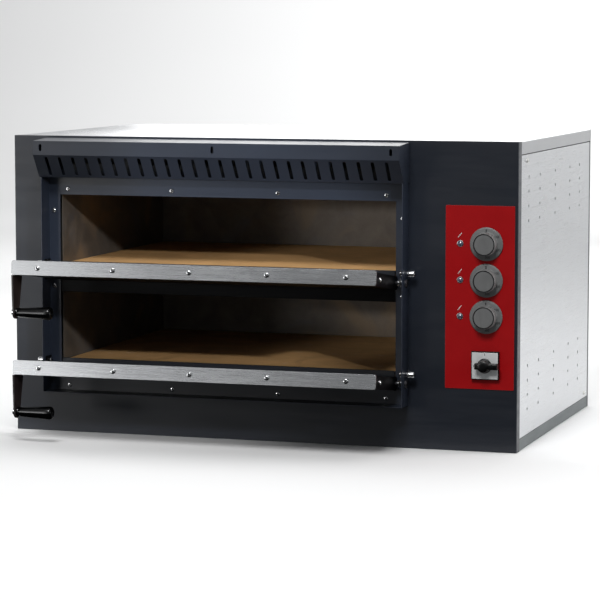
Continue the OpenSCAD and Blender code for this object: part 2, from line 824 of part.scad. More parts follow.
module door_shell(z) {
    color([0.10, 0.10, 0.11]) hung(z) difference() {
        along_x(door_x0 + plate_t, door_x1 - plate_t) difference() {
            translate([-door_t / 2, body_u0]) square([door_t - skin - 0.5, body_u1 - body_u0]);
            translate([-door_t / 2 + skin, body_u0 + skin]) square([door_t, body_u1 - body_u0 - 2 * skin]);
        }
        band_screw_holes(3.3);
    }
}

module door_liner(z) {
    color([0.58, 0.57, 0.55]) hung(z) block([door_x0 + plate_t, door_t / 2 - skin, body_u0 + 1],
        [door_x1 - plate_t, door_t / 2, body_u1 - 0.5]);
}

module door_insulation(z) {
    inset = plate_t + 5.5;
    color([0.72, 0.66, 0.42]) hung(z) block([door_x0 + inset, -door_t / 2 + skin + 0.5, body_u0 + skin + 1],
        [door_x1 - inset, door_t / 2 - skin - 0.5, body_u1 - skin - 6]);
}

module door_band(z) {
    half = door_t / 2 + band_proud;
    color(stainless) hung(z) difference() {
        intersection() {
            along_x(band_x0, band_x1) difference() {
                translate([-half, door_len - band_legs]) square([2 * half, band_legs]);
                translate([-half + 0.9, door_len - band_legs - 1]) square([2 * half - 1.8, band_legs - 0.5]);
            }
            translate([band_x0, -half, door_len - band_legs - 1])
                linear_extrude(band_legs + 2) rounded_rect(band_x1 - band_x0, 2 * half, 4);
        }
        band_screw_holes(3.3);
    }
}

module end_plate_outline() {
    heel = pivot_y - jamb_t - stop_gap;
    circle(eye_r);
    translate([-door_t / 2, 0]) square([door_t, body_u1]);
    rotate(-travel) polygon([[0, 0], [heel, 0], [heel, -3], [9, -8], [0, -8]]);
}

module door_end_plates(z) {
    color(black) hung(z) for (x = [door_x0, door_x1 - plate_t]) difference() {
        along_x(x, x + plate_t) end_plate_outline();
        rod_x(pivot_d + 2 * pivot_fit, x - 1, x + plate_t + 1, 0, 0);
        rod_x(3.6, x - 1, x + plate_t + 1, 0, plate_screw_u);
        if (x == door_x0) for (u = lever_screws) rod_x(4.3, x - 1, x + plate_t + 1, 0, u);
    }
}

module door_lever(z) {
    edge = door_t / 2 + band_proud;
    band_u = door_len - band_legs - 1;
    color([0.16, 0.12, 0.12]) hung(z) difference() {
        union() {
            along_x(lever_x0, lever_x1) {
                polygon([[edge, band_u], [edge, door_len - 41], [-edge, door_len - 40],
                         [-lever_drop, grip_u - end_r], [-lever_drop, grip_u + end_r],
                         [-edge - 0.5, door_len], [-edge - 0.5, band_u]]);
                translate([-lever_drop, grip_u]) circle(end_r);
            }
            for (u = lever_screws) rod_x(boss_d, lever_x1 - 0.5, door_x0, 0, u);
        }
        for (u = lever_screws) rod_x(4.3, lever_x1 + 1, door_x0 + 1, 0, u);
        rod_x(6.3, lever_x0 - 1, lever_x1 + 1, -lever_drop, grip_u);
    }
}

module door_grip(z) {
    root = 8;
    tip = grip_d / 2;
    round_r = 5;
    color([0.03, 0.03, 0.032]) hung(z) translate([lever_x1, -lever_drop, grip_u]) rotate([0, 90, 0])
        rotate_extrude($fn = 64) difference() {
            union() {
                polygon([[0, 0], [root, 0], [tip, grip_len - round_r], [tip - round_r, grip_len], [0, grip_len]]);
                translate([tip - round_r, grip_len - round_r]) circle(round_r);
            }
            translate([-10, -1]) square([13.15, grip_len + 2]);
            translate([-10, grip_len - 5]) square([14.8, 6]);
        }
}

module door_screws(z) {
    color([0.78, 0.79, 0.80]) hung(z) {
        for (x = band_screw_x()) translate([x, 0, door_len]) rotate([-90, 0, 0]) screw_y(3.2, 9, 6);
        translate([door_x1, 0, plate_screw_u]) rotate([0, 0, 90]) screw_y(3.4, 8.5, 6);
        translate([door_x0, 0, plate_screw_u]) rotate([0, 0, -90]) screw_y(3.4, 8.5, 6);
        for (u = lever_screws) translate([door_x0 + plate_t, 0, u]) rotate([0, 0, 90]) screw_y(4, 7.5, 12);
        rod_x(6, lever_x0 - 3, lever_x1 + grip_len - 3, -lever_drop, grip_u);
        rod_x(9, lever_x1 + grip_len - 4.9, lever_x1 + grip_len - 1.5, -lever_drop, grip_u);
        hex_x(10, lever_x0 - 5, lever_x0, -lever_drop, grip_u);
    }
}

module upper_chamber_liner() { chamber_liner(deck_z[0]); }
module lower_chamber_liner() { chamber_liner(deck_z[1]); }
module upper_stone() { stone(deck_z[0]); }
module lower_stone() { stone(deck_z[1]); }
module upper_heating_elements() { heating_elements(deck_z[0]); }
module lower_heating_elements() { heating_elements(deck_z[1]); }
module upper_thermostat() { thermostat(knob_rows[0]); }
module middle_thermostat() { thermostat(knob_rows[1]); }
module lower_thermostat() { thermostat(knob_rows[2]); }
module upper_knob() { knob(knob_rows[0]); }
module middle_knob() { knob(knob_rows[1]); }
module lower_knob() { knob(knob_rows[2]); }
module upper_knob_shaft() { knob_shaft(knob_rows[0]); }
module middle_knob_shaft() { knob_shaft(knob_rows[1]); }
module lower_knob_shaft() { knob_shaft(knob_rows[2]); }
module upper_pilot_lamp() { pilot_lamp(knob_rows[0]); }
module middle_pilot_lamp() { pilot_lamp(knob_rows[1]); }
module lower_pilot_lamp() { pilot_lamp(knob_rows[2]); }
module upper_door_shell() { door_shell(deck_z[0]); }
module upper_door_liner() { door_liner(deck_z[0]); }
module upper_door_insulation() { door_insulation(deck_z[0]); }
module upper_door_band() { door_band(deck_z[0]); }
module upper_door_end_plates() { door_end_plates(deck_z[0]); }
module upper_door_lever() { door_lever(deck_z[0]); }
module upper_door_grip() { door_grip(deck_z[0]); }
module upper_door_screws() { door_screws(deck_z[0]); }
module lower_door_shell() { door_shell(deck_z[1]); }
module lower_door_liner() { door_liner(deck_z[1]); }
module lower_door_insulation() { door_insulation(deck_z[1]); }
module lower_door_band() { door_band(deck_z[1]); }
module lower_door_end_plates() { door_end_plates(deck_z[1]); }
module lower_door_lever() { door_lever(deck_z[1]); }
module lower_door_grip() { door_grip(deck_z[1]); }
module lower_door_screws() { door_screws(deck_z[1]); }

base_tray();
chassis_frame();
front_panel();
control_plate();
top_cover();
left_side_panel();
right_side_panel();
back_panel();
vent_hood();
door_surround();
middle_rail();
stone_sills();
compartment_wall();
hinge_brackets();
hinge_clamp_bolts();
pivot_bolts();
pivot_nuts();
surround_screws();
casing_screws();
insulation_slabs();
upper_chamber_liner();
upper_stone();
upper_heating_elements();
lower_chamber_liner();
lower_stone();
lower_heating_elements();
upper_thermostat();
middle_thermostat();
lower_thermostat();
thermostat_bulbs();
upper_knob();
middle_knob();
lower_knob();
upper_knob_shaft();
middle_knob_shaft();
lower_knob_shaft();
upper_pilot_lamp();
middle_pilot_lamp();
lower_pilot_lamp();
main_switch_body();
main_switch_plate();
main_switch_handle();
terminal_block();
cable_gland();
upper_door_shell();
upper_door_liner();
upper_door_insulation();
upper_door_band();
upper_door_end_plates();
upper_door_lever();
upper_door_grip();
upper_door_screws();
lower_door_shell();
lower_door_liner();
lower_door_insulation();
lower_door_band();
lower_door_end_plates();
lower_door_lever();
lower_door_grip();
lower_door_screws();
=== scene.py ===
"""Twin-deck countertop pizza oven: its finishes, fixings and controls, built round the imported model."""

import json
import math

import bmesh
import bpy
from bpy.props import FloatProperty, FloatVectorProperty, IntProperty, PointerProperty
from bpy.types import Operator, Panel, PropertyGroup
from mathutils import Euler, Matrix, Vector, noise


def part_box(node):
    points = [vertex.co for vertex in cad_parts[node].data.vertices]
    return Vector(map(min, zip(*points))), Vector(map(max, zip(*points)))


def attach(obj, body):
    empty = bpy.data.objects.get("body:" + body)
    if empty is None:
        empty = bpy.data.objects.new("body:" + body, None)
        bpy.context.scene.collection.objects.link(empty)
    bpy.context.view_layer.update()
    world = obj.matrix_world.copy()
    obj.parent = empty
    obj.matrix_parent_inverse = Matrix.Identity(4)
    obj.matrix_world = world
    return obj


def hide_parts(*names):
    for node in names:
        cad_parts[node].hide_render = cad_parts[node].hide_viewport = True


bl_info = {
    "name": "Countertop Pizza Oven",
    "version": (1, 0, 0),
    "blender": (4, 5, 0),
    "location": "View3D > Sidebar > Pizza Oven",
    "description": "Builds the finishes, fixings and controls of a twin-deck countertop pizza oven",
    "category": "Object",
}

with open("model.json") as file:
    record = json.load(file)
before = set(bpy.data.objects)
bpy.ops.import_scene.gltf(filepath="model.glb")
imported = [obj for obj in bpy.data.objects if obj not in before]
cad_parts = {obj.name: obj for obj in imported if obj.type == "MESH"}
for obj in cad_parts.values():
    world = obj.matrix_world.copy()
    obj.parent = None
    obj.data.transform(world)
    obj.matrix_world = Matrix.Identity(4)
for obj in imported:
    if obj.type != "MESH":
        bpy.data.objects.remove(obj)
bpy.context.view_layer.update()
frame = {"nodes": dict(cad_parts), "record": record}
NODES = frame["nodes"]
MM = 0.001
ROWS = ("upper", "middle", "lower")
DECKS = ("upper", "lower")


def hinge(deck):
    """The place of a door's pivot line, from the record."""
    joints = frame["record"]["behaviour"]["joints"]
    return Vector(next(j["pos_m"] for j in joints if j["name"] == f"{deck}_door_hinge"))


def middle(node):
    """The middle of a node's box."""
    lo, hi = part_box(node)
    return (lo + hi) / 2


def solids(node):
    """The points of each separate solid of a node."""
    shape = bmesh.new()
    shape.from_mesh(NODES[node].data)
    bmesh.ops.remove_doubles(shape, verts=shape.verts, dist=2e-6)
    waiting = set(shape.verts)
    found = []
    while waiting:
        seed = min(waiting, key=lambda v: v.index)
        waiting.discard(seed)
        group = [seed]
        for v in group:
            for e in v.link_edges:
                other = e.other_vert(v)
                if other in waiting:
                    waiting.discard(other)
                    group.append(other)
        found.append([v.co.copy() for v in group])
    shape.free()
    return found


def head_top(points, axis):
    """The middle of the end of a solid that lies furthest along an axis."""
    reach = [p.dot(axis) for p in points]
    top = max(reach)
    ring = [p for p, r in zip(points, reach) if r > top - 0.05 * MM]
    return sum(ring, Vector()) / len(ring)


# ---- Sizes and colours that a user would change ----


class PizzaOvenColours(PropertyGroup):
    """Colours of the painted, moulded and fired parts"""

    casing_paint: FloatVectorProperty(name="Casing Paint", description="Powder coat of the front panel and the hood",
                                      default=(0.0115, 0.0150, 0.0235), size=3, min=0, max=1, subtype="COLOR")
    control_red: FloatVectorProperty(name="Control Plate", description="Lacquer of the control plate",
                                     default=(0.40, 0.0035, 0.0055), size=3, min=0, max=1, subtype="COLOR")
    steel: FloatVectorProperty(name="Stainless Steel", description="Brushed covers and door edge bands",
                               default=(0.62, 0.63, 0.645), size=3, min=0, max=1, subtype="COLOR")
    stone: FloatVectorProperty(name="Stone", description="Fired clay of the deck stones",
                               default=(0.66, 0.39, 0.17), size=3, min=0, max=1, subtype="COLOR")
    knob_grey: FloatVectorProperty(name="Knobs", description="Moulded thermostat knobs",
                                   default=(0.158, 0.160, 0.160), size=3, min=0, max=1, subtype="COLOR")
    lens: FloatVectorProperty(name="Lamp Lens", description="Lenses of the pilot lamps",
                              default=(0.10, 0.12, 0.17), size=3, min=0, max=1, subtype="COLOR")


class PizzaOvenSizes(PropertyGroup):
    """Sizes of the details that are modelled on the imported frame"""

    socket: FloatProperty(name="Screw Socket", description="Width across flats of the screws' hexagon sockets",
                          default=3.3 * MM, min=1 * MM, max=3.5 * MM, unit="LENGTH")
    # The groove's darkness is painted shade, laid on as black ink.
    dial_ring: FloatProperty(name="Cap Groove", description="Width of the dark groove round a knob's cap",
                             default=2.0 * MM, min=0.4 * MM, max=3 * MM, unit="LENGTH")
    number_h: FloatProperty(name="Dial Numbers", description="Height of the numbers on a knob's dial",
                            default=4.2 * MM, min=2 * MM, max=5 * MM, unit="LENGTH")
    edge_soft: FloatProperty(name="Sheet Edge", description="Radius that light finds on the edges of the sheet metal",
                             default=0.8 * MM, min=0.1 * MM, max=3 * MM, unit="LENGTH")
    stone_edge: FloatProperty(name="Stone Edge", description="Rounding along the edges of the deck stones",
                              default=1.6 * MM, min=0.5 * MM, max=4 * MM, unit="LENGTH")
    knurls: IntProperty(name="Knurls", description="Ridges round each hinge clamp bolt", default=18, min=8, max=36)


# ---- Finishes ----


class Finish:
    """A node material while it is put together."""

    def __init__(self, name, colour, rough, metal=0.0, **sockets):
        self.material = bpy.data.materials.new(name)
        self.material.use_nodes = True
        self.material.diffuse_color = (*colour, 1)
        self.tree = self.material.node_tree
        self.shader = self.tree.nodes["Principled BSDF"]
        self.set(self.shader, "Base Color", (*colour, 1))
        self.set(self.shader, "Roughness", rough)
        self.set(self.shader, "Metallic", metal)
        for key, value in sockets.items():
            self.set(self.shader, key.replace("_", " ").title().replace("Ior", "IOR"), value)
        self.place = self.node("ShaderNodeTexCoord").outputs["Object"]
        self.normal = None

    def set(self, node, socket, value):
        if isinstance(value, bpy.types.NodeSocket):
            self.tree.links.new(value, node.inputs[socket])
        else:
            node.inputs[socket].default_value = value

    def node(self, kind, values=None, **settings):
        made = self.tree.nodes.new(kind)
        for key, value in settings.items():
            setattr(made, key, value)
        for socket, value in (values or {}).items():
            self.set(made, socket, value)
        return made

    def grain(self, size, stretch=(1, 1, 1), detail=3.0, rough=0.55, twist=0.0, turn=(0, 0, 0)):
        """Cloudy noise whose patches are about size metres across; a stretch above 1 draws them out."""
        scale = tuple(1 / (size * s) for s in stretch)
        mapping = self.node("ShaderNodeMapping", {"Vector": self.place, "Scale": scale, "Rotation": turn})
        return self.node("ShaderNodeTexNoise", {"Vector": mapping.outputs[0], "Scale": 1.0, "Detail": detail,
                                                "Roughness": rough, "Distortion": twist}).outputs["Fac"]

    def cells(self, size, feature="F1"):
        made = self.node("ShaderNodeTexVoronoi", feature=feature)
        self.set(made, "Vector", self.place)
        self.set(made, "Scale", 1 / size)
        return made.outputs["Distance"]

    def levels(self, value, low, high, out_low=0.0, out_high=1.0):
        return self.node("ShaderNodeMapRange", {"Value": value, "From Min": low, "From Max": high,
                                                "To Min": out_low, "To Max": out_high}).outputs["Result"]

    def sum(self, a, b, how="ADD"):
        return self.node("ShaderNodeMath", {0: a, 1: b}, operation=how).outputs[0]

    def times(self, a, b):
        return self.sum(a, b, "MULTIPLY")

    def blend(self, share, a, b, how="MIX"):
        made = self.node("ShaderNodeMix", data_type="RGBA", blend_type=how)
        for key, value in ((0, share), (6, a), (7, b)):
            if isinstance(value, (tuple, list)) and len(value) == 3:
                value = (*value, 1)
            self.set(made, key, value)
        return made.outputs[2]

    def bump(self, height, depth, strength=1.0):
        made = self.node("ShaderNodeBump", {"Height": height, "Distance": depth, "Strength": strength})
        if self.normal is not None:
            self.set(made, "Normal", self.normal)
        self.normal = made.outputs[0]
        return self

    def soften(self, radius):
        """Rounds the edges that light sees."""
        self.normal = self.node("ShaderNodeBevel", {"Radius": radius}, samples=6).outputs[0]
        return self

    def edges(self, radius, low=0.04, high=0.35):
        """1 along outer edges and folds, 0 on the flats."""
        bevel = self.node("ShaderNodeBevel", {"Radius": radius}, samples=6).outputs[0]
        flat = self.node("ShaderNodeNewGeometry").outputs["Normal"]
        dot = self.node("ShaderNodeVectorMath", {0: bevel, 1: flat}, operation="DOT_PRODUCT").outputs["Value"]
        return self.levels(self.sum(1.0, dot, "SUBTRACT"), low, high)

    def colour(self, value):
        self.set(self.shader, "Base Color", value)
        return self

    def rough(self, value):
        self.set(self.shader, "Roughness", value)
        return self

    def done(self):
        if self.normal is not None:
            self.set(self.shader, "Normal", self.normal)
        return self.material


def shade(colour, factor):
    return tuple(min(1.0, c * factor) for c in colour)


def powder_coat(name, colour, rough=0.38, edge=1.5, soft=0.8 * MM, gloss=0.5):
    """Satin powder coat: a fine orange peel, a faint smear of cleaning marks and paler edges, partly rubbing wear and
    partly a painted highlight.
    """
    f = Finish(name, colour, rough, specular_ior_level=gloss)
    f.soften(soft)
    cloud = f.grain(0.09, detail=4)
    speck = f.grain(0.8 * MM, detail=2)
    wiped = f.grain(0.02, stretch=(6, 6, 0.6), detail=3)
    base = f.blend(f.levels(cloud, 0.35, 0.7), shade(colour, 0.93), shade(colour, 1.08))
    base = f.blend(f.levels(speck, 0.62, 0.74, 0, 0.5), base, shade(colour, 1.5))
    # Paler edges and folds: rubbing wear together with a painted highlight.
    worn_and_highlit_edges = f.times(f.edges(1.0 * MM), f.levels(f.grain(0.012), 0.3, 0.6, 0.35, 1.0))
    f.colour(f.blend(f.times(worn_and_highlit_edges, 0.6), base, shade(colour, edge)))
    f.rough(f.levels(f.sum(wiped, speck), 0.7, 1.3, rough - 0.05, rough + 0.08))
    f.bump(f.grain(1.7 * MM, detail=2, rough=0.4), 0.06 * MM, 0.5)
    f.bump(f.grain(0.35 * MM, detail=1), 0.012 * MM, 0.5)
    return f.done()


def brushed_steel(name, colour, along, rough=0.27, tint=0.10, soft=0.6 * MM):
    """Stainless sheet brushed along one axis, with fine hairlines, a few longer scratches and finger haze."""
    long, short = 180.0, 1.0
    stretch = tuple(long if i == along else short for i in range(3))
    f = Finish(name, colour, rough, 1.0, anisotropic=0.45)
    f.soften(soft)
    hair = f.grain(0.35 * MM, stretch=stretch, detail=4, rough=0.65)
    streak = f.grain(2.4 * MM, stretch=tuple(s * 1.6 for s in stretch), detail=2)
    haze = f.grain(0.14, detail=4, twist=0.4)
    base = f.blend(f.levels(hair, 0.3, 0.7), shade(colour, 1 - tint), shade(colour, 1 + tint * 0.6))
    base = f.blend(f.levels(streak, 0.55, 0.75, 0, 0.35), base, shade(colour, 0.82))
    f.colour(f.blend(f.levels(haze, 0.45, 0.75, 0, 0.10), base, shade(colour, 0.86)))
    f.rough(f.levels(f.sum(f.times(hair, 0.7), f.times(haze, 0.2)), 0.25, 0.62,
                     rough - 0.07, rough + 0.13))
    f.bump(hair, 0.02 * MM, 0.6)
    f.bump(streak, 0.03 * MM, 0.35)
    return f.done()


def zinc_sheet(name, colour, rough=0.45):
    """Galvanised sheet with its flowery spangle."""
    f = Finish(name, colour, rough, 0.85)
    f.soften(0.5 * MM)
    spangle = f.cells(0.012, "SMOOTH_F1")
    fine = f.grain(3 * MM, detail=4)
    base = f.blend(f.levels(spangle, 0.1, 0.75), shade(colour, 1.08), shade(colour, 0.78))
    f.colour(f.blend(f.levels(fine, 0.4, 0.7, 0, 0.3), base, shade(colour, 0.7)))
    f.rough(f.levels(spangle, 0.0, 0.8, rough - 0.1, rough + 0.15))
    f.bump(fine, 0.04 * MM, 0.4)
    return f.done()


def heat_stained_steel(name, colour):
    """Chamber lining after many bakes: mottled brown and grey, with straw and blue tints near the heat."""
    f = Finish(name, colour, 0.45, 0.55)
    patch = f.grain(0.05, detail=6, rough=0.6, twist=0.5)
    tide = f.grain(0.16, detail=3, twist=1.2)
    speck = f.grain(1.6 * MM, detail=5, rough=0.7)
    scratch = f.grain(0.7 * MM, stretch=(60, 60, 1), detail=2)
    base = f.blend(f.levels(patch, 0.32, 0.68), shade(colour, 0.72), shade(colour, 1.25))
    base = f.blend(f.levels(tide, 0.52, 0.7, 0, 0.55), base, (0.30, 0.215, 0.13))
    base = f.blend(f.levels(tide, 0.28, 0.42, 0.35, 0), base, (0.15, 0.16, 0.19))
    f.colour(f.blend(f.levels(speck, 0.52, 0.7, 0, 0.5), base, shade(colour, 0.45)))
    f.rough(f.levels(f.sum(patch, speck), 0.7, 1.3, 0.36, 0.68))
    f.bump(scratch, 0.03 * MM, 0.5).bump(speck, 0.08 * MM, 0.4)
    return f.done()


def fired_stone(name, colour):
    """Refractory clay: sandy grain, small pits, a dusting of flour and scorched patches."""
    f = Finish(name, colour, 0.88, specular_ior_level=0.25)
    sand = f.grain(1.1 * MM, detail=5, rough=0.75)
    body = f.grain(0.07, detail=5, rough=0.55, twist=0.3)
    scorch = f.grain(0.13, detail=6, rough=0.62, twist=0.8)
    pits = f.cells(3.2 * MM)
    base = f.blend(f.levels(body, 0.3, 0.7), shade(colour, 0.86), shade(colour, 1.16))
    base = f.blend(f.levels(sand, 0.42, 0.66, 0, 0.55), base, shade(colour, 0.72))
    base = f.blend(f.levels(scorch, 0.58, 0.74, 0, 0.5), base, shade(colour, 0.42))
    base = f.blend(f.levels(f.grain(0.03, detail=7, rough=0.7), 0.6, 0.75, 0, 0.35), base, (0.80, 0.72, 0.60))
    f.colour(f.blend(f.levels(pits, 0.05, 0.16, 0.65, 0), base, shade(colour, 0.35)))
    f.bump(sand, 0.18 * MM, 0.6).bump(f.levels(pits, 0.04, 0.2), 0.35 * MM, 0.45).bump(body, 0.5 * MM, 0.3)
    return f.done()


def polished(name, colour, rough=0.09, metal=1.0):
    """Bright plated steel with hairline polishing marks and patches of dull grime."""
    f = Finish(name, colour, rough, metal)
    fine = f.grain(0.5 * MM, detail=4, rough=0.7)
    dirt = f.grain(2.6 * MM, detail=4)
    f.colour(f.blend(f.levels(dirt, 0.5, 0.75, 0, 0.35), colour, shade(colour, 0.62)))
    f.rough(f.levels(fine, 0.3, 0.75, rough, rough + 0.16))
    f.bump(fine, 0.012 * MM, 0.5)
    return f.done()


def moulding(name, colour, rough=0.4, pattern=0.35 * MM, depth=0.03 * MM, coat=0.0):
    """Moulded plastic: an even spark-eroded texture, faint flow marks and handled, smoother patches."""
    f = Finish(name, colour, rough, coat_weight=coat, coat_roughness=0.08)
    skin = f.grain(pattern, detail=2, rough=0.5)
    flow = f.grain(0.016, stretch=(1, 1, 3), detail=3, twist=0.7)
    base = f.blend(f.levels(flow, 0.3, 0.7), shade(colour, 0.92), shade(colour, 1.09))
    f.colour(f.blend(f.levels(skin, 0.6, 0.8, 0, 0.35), base, shade(colour, 1.4)))
    f.rough(f.levels(f.sum(flow, skin), 0.7, 1.3, rough - 0.06, rough + 0.1))
    f.bump(skin, depth, 0.5)
    return f.done()


def lacquer(name, colour):
    """Silk-screened lacquer on a flat aluminium plate: even red, a faint grain and dust in the gloss."""
    f = Finish(name, colour, 0.45, specular_ior_level=0.14)
    f.soften(0.4 * MM)
    cloud = f.grain(0.06, detail=3)
    dust = f.grain(0.6 * MM, detail=2)
    base = f.blend(f.levels(cloud, 0.35, 0.7), shade(colour, 0.94), shade(colour, 1.06))
    base = f.blend(f.levels(dust, 0.66, 0.78, 0, 0.4), base, shade(colour, 1.5))
    # Paler pink along the plate's edges: partly wear, partly a painted highlight.
    rim = f.edges(0.9 * MM)
    f.colour(f.blend(f.times(rim, 0.5), base, (0.36, 0.20, 0.20)))
    f.rough(f.levels(f.sum(cloud, dust), 0.7, 1.3, 0.4, 0.5))
    f.bump(f.grain(1.2 * MM, detail=2), 0.02 * MM, 0.5)
    return f.done()


def lever_coat(name):
    """Dark coated lever plate, a little brighter along its cut edges: rubbing wear with a painted highlight."""
    coat, bare_and_highlit = (0.016, 0.011, 0.011), (0.045, 0.04, 0.04)
    f = Finish(name, coat, 0.35)
    side = f.node("ShaderNodeSeparateXYZ", {0: f.node("ShaderNodeNewGeometry").outputs["True Normal"]}).outputs[0]
    cut = f.levels(f.times(side, side), 0.15, 0.6, 1, 0)
    rub = f.grain(4 * MM, stretch=(1, 3, 3), detail=4)
    face = f.blend(f.levels(rub, 0.35, 0.7), coat, shade(coat, 2.2))
    # The cut edges are painted a little brighter: a painted highlight together with rubbing.
    edge = f.blend(f.levels(f.grain(0.5 * MM, detail=3), 0.3, 0.7), shade(bare_and_highlit, 0.75), bare_and_highlit)
    f.colour(f.blend(cut, face, edge))
    f.rough(f.levels(f.sum(rub, f.times(cut, 0.2), "SUBTRACT"), 0.2, 0.7, 0.24, 0.44))
    f.bump(f.grain(0.9 * MM, detail=2), 0.03 * MM, 0.5)
    return f.done()


def wool_board(name, colour):
    """Pressed mineral wool: matted fibres in two directions."""
    f = Finish(name, colour, 0.95, sheen_weight=0.3)
    fibres = f.grain(0.9 * MM, stretch=(12, 1, 3), detail=5, rough=0.7)
    across = f.grain(0.9 * MM, stretch=(2, 9, 1), detail=5, rough=0.7)
    both = f.sum(fibres, across)
    f.colour(f.blend(f.levels(both, 0.75, 1.25), shade(colour, 0.6), shade(colour, 1.25)))
    f.bump(both, 0.8 * MM, 0.7)
    return f.done()


def heater_sheath(name):
    """Oxidised heater tube: grey-green bloom over dark nickel steel."""
    f = Finish(name, (0.07, 0.065, 0.06), 0.55, 0.7)
    bloom = f.grain(7 * MM, detail=5)
    f.colour(f.blend(f.levels(bloom, 0.4, 0.68), (0.055, 0.05, 0.048), (0.15, 0.145, 0.13)))
    f.rough(f.levels(bloom, 0.3, 0.7, 0.42, 0.7)).bump(f.grain(0.5 * MM, detail=4), 0.05 * MM, 0.5)
    return f.done()


def fired_porcelain(name):
    """Unglazed terminal porcelain: cream, slightly speckled."""
    f = Finish(name, (0.72, 0.69, 0.60), 0.6)
    speck = f.grain(1.5 * MM, detail=4)
    f.colour(f.blend(f.levels(speck, 0.5, 0.72), (0.74, 0.71, 0.62), (0.56, 0.52, 0.44)))
    f.bump(speck, 0.05 * MM, 0.5)
    return f.done()


def lamp_lens(name, colour):
    """Tinted moulded lens with a pale, uneven painted glow: a painted reflection of a reflector behind it."""
    f = Finish(name, colour, 0.12, coat_weight=0.6, coat_roughness=0.04)
    depth = f.cells(2.1 * MM)
    # Painted reflection: each cell of the lens is lightened towards its middle, like a reflector's glints.
    f.colour(f.blend(f.levels(depth, 0.15, 0.7), shade(colour, 2.3), shade(colour, 0.5)))
    f.rough(f.levels(f.grain(0.4 * MM), 0.3, 0.7, 0.08, 0.18))
    return f.done()


def print_ink(name, colour):
    """Screen-printed ink: slightly raised, with tiny gaps."""
    f = Finish(name, colour, 0.5)
    gaps = f.grain(0.25 * MM, detail=2)
    f.colour(f.blend(f.levels(gaps, 0.62, 0.8, 0, 0.5), colour, shade(colour, 0.7)))
    f.bump(gaps, 0.01 * MM, 0.5)
    return f.done()


def make_finishes():
    """All finishes by name; made once for each build."""
    c = bpy.context.scene.oven_colours
    s = bpy.context.scene.oven_sizes
    paint, steel = tuple(c.casing_paint), tuple(c.steel)
    recipes = {
        "casing coat": lambda n: powder_coat(n, paint, soft=s.edge_soft),
        # Painted light: the surround takes a lighter copy of the casing paint, brightened for how light falls on it.
        "surround coat painted lighter": lambda n: powder_coat(n, shade(paint, 1.7), 0.36, 1.9, s.edge_soft),
        # Painted light: the hood takes a lighter copy of the casing paint, because its face stands forward into the
        # light.
        "hood coat painted lighter": lambda n: powder_coat(n, shade(paint, 1.35), soft=s.edge_soft),
        "sill coat": lambda n: powder_coat(n, shade(paint, 0.6), 0.4, 2.0),
        "black enamel": lambda n: powder_coat(n, (0.0012, 0.0012, 0.0014), 0.42, 1.8, gloss=0.09),
        "steel along y": lambda n: brushed_steel(n, steel, 1),
        "band steel": lambda n: brushed_steel(n, shade(steel, 0.88), 0, rough=0.22, tint=0.06, soft=0.9 * MM),
        # Painted shade: the top cover takes a darker copy of the stainless, to tone down its bright reflection.
        "cover steel painted darker": lambda n: brushed_steel(n, shade(steel, 0.74), 0),
        "zinc sheet": lambda n: zinc_sheet(n, (0.50, 0.52, 0.54)),
        "base coat": lambda n: powder_coat(n, (0.105, 0.122, 0.126), 0.45, 1.5),
        "dark primer": lambda n: powder_coat(n, (0.012, 0.012, 0.014), 0.6, 1.3),
        "stained lining": lambda n: heat_stained_steel(n, (0.16, 0.14, 0.12)),
        "fired stone": lambda n: fired_stone(n, tuple(c.stone)),
        "chrome": lambda n: polished(n, (0.80, 0.81, 0.82)),
        "zinc plate": lambda n: polished(n, (0.66, 0.66, 0.64), 0.22),
        "black oxide": lambda n: polished(n, (0.030, 0.030, 0.034), 0.28, 0.6),
        "copper": lambda n: polished(n, (0.72, 0.36, 0.22), 0.2),
        "thermostat case": lambda n: zinc_sheet(n, (0.62, 0.60, 0.52), 0.35),
        "heater sheath": heater_sheath,
        # Painted shade: the wool is made near black so that the hood's slots look into shade.
        "wool board painted dark": lambda n: wool_board(n, (0.045, 0.040, 0.030)),
        "porcelain": fired_porcelain,
        "control lacquer": lambda n: lacquer(n, tuple(c.control_red)),
        "knob moulding": lambda n: moulding(n, tuple(c.knob_grey), 0.46),
        "black ink and groove shade": lambda n: print_ink(n, (0.008, 0.009, 0.010)),
        "ink white": lambda n: print_ink(n, (0.80, 0.80, 0.78)),
        "grip bakelite": lambda n: moulding(n, (0.0010, 0.0011, 0.0012), 0.15, 0.5 * MM, 0.006 * MM, 0.0),
        "switch black": lambda n: moulding(n, (0.0010, 0.0010, 0.0012), 0.32),
        "switch white": lambda n: moulding(n, (0.66, 0.67, 0.67), 0.36, 0.3 * MM, 0.015 * MM),
        "gland nylon": lambda n: moulding(n, (0.012, 0.012, 0.013), 0.42),
        "lamp lens": lambda n: lamp_lens(n, tuple(c.lens)),
        "lever coat": lever_coat,
    }
    return {name: recipe(name) for name, recipe in recipes.items()}


def finish(name):
    """A finish, made the first time that it is asked for."""
    if name not in bpy.data.materials:
        make_finishes()
    return bpy.data.materials[name]


def coat(finish_name, *nodes):
    """Gives carried-over nodes their finish."""
    for node in nodes:
        for slot in NODES[node].material_slots:
            slot.material = finish(finish_name)


# ---- Shaping by hand ----


def put_down():
    """Object mode, with nothing selected."""
    if bpy.context.object is not None and bpy.context.object.mode != "OBJECT":
        bpy.ops.object.mode_set(mode="OBJECT")
    bpy.ops.object.select_all(action="DESELECT")


def take(*pieces):
    """Selects these pieces alone; the first is active."""
    put_down()
    for p in pieces:
        p.select_set(True)
    bpy.context.view_layer.objects.active = pieces[0]
    return pieces[0]


def open_mesh(piece, kind="FACE"):
    """Edit mode on one piece, with nothing selected."""
    take(piece)
    bpy.ops.object.mode_set(mode="EDIT")
    bpy.ops.mesh.select_mode(type=kind)
    bpy.ops.mesh.select_all(action="DESELECT")


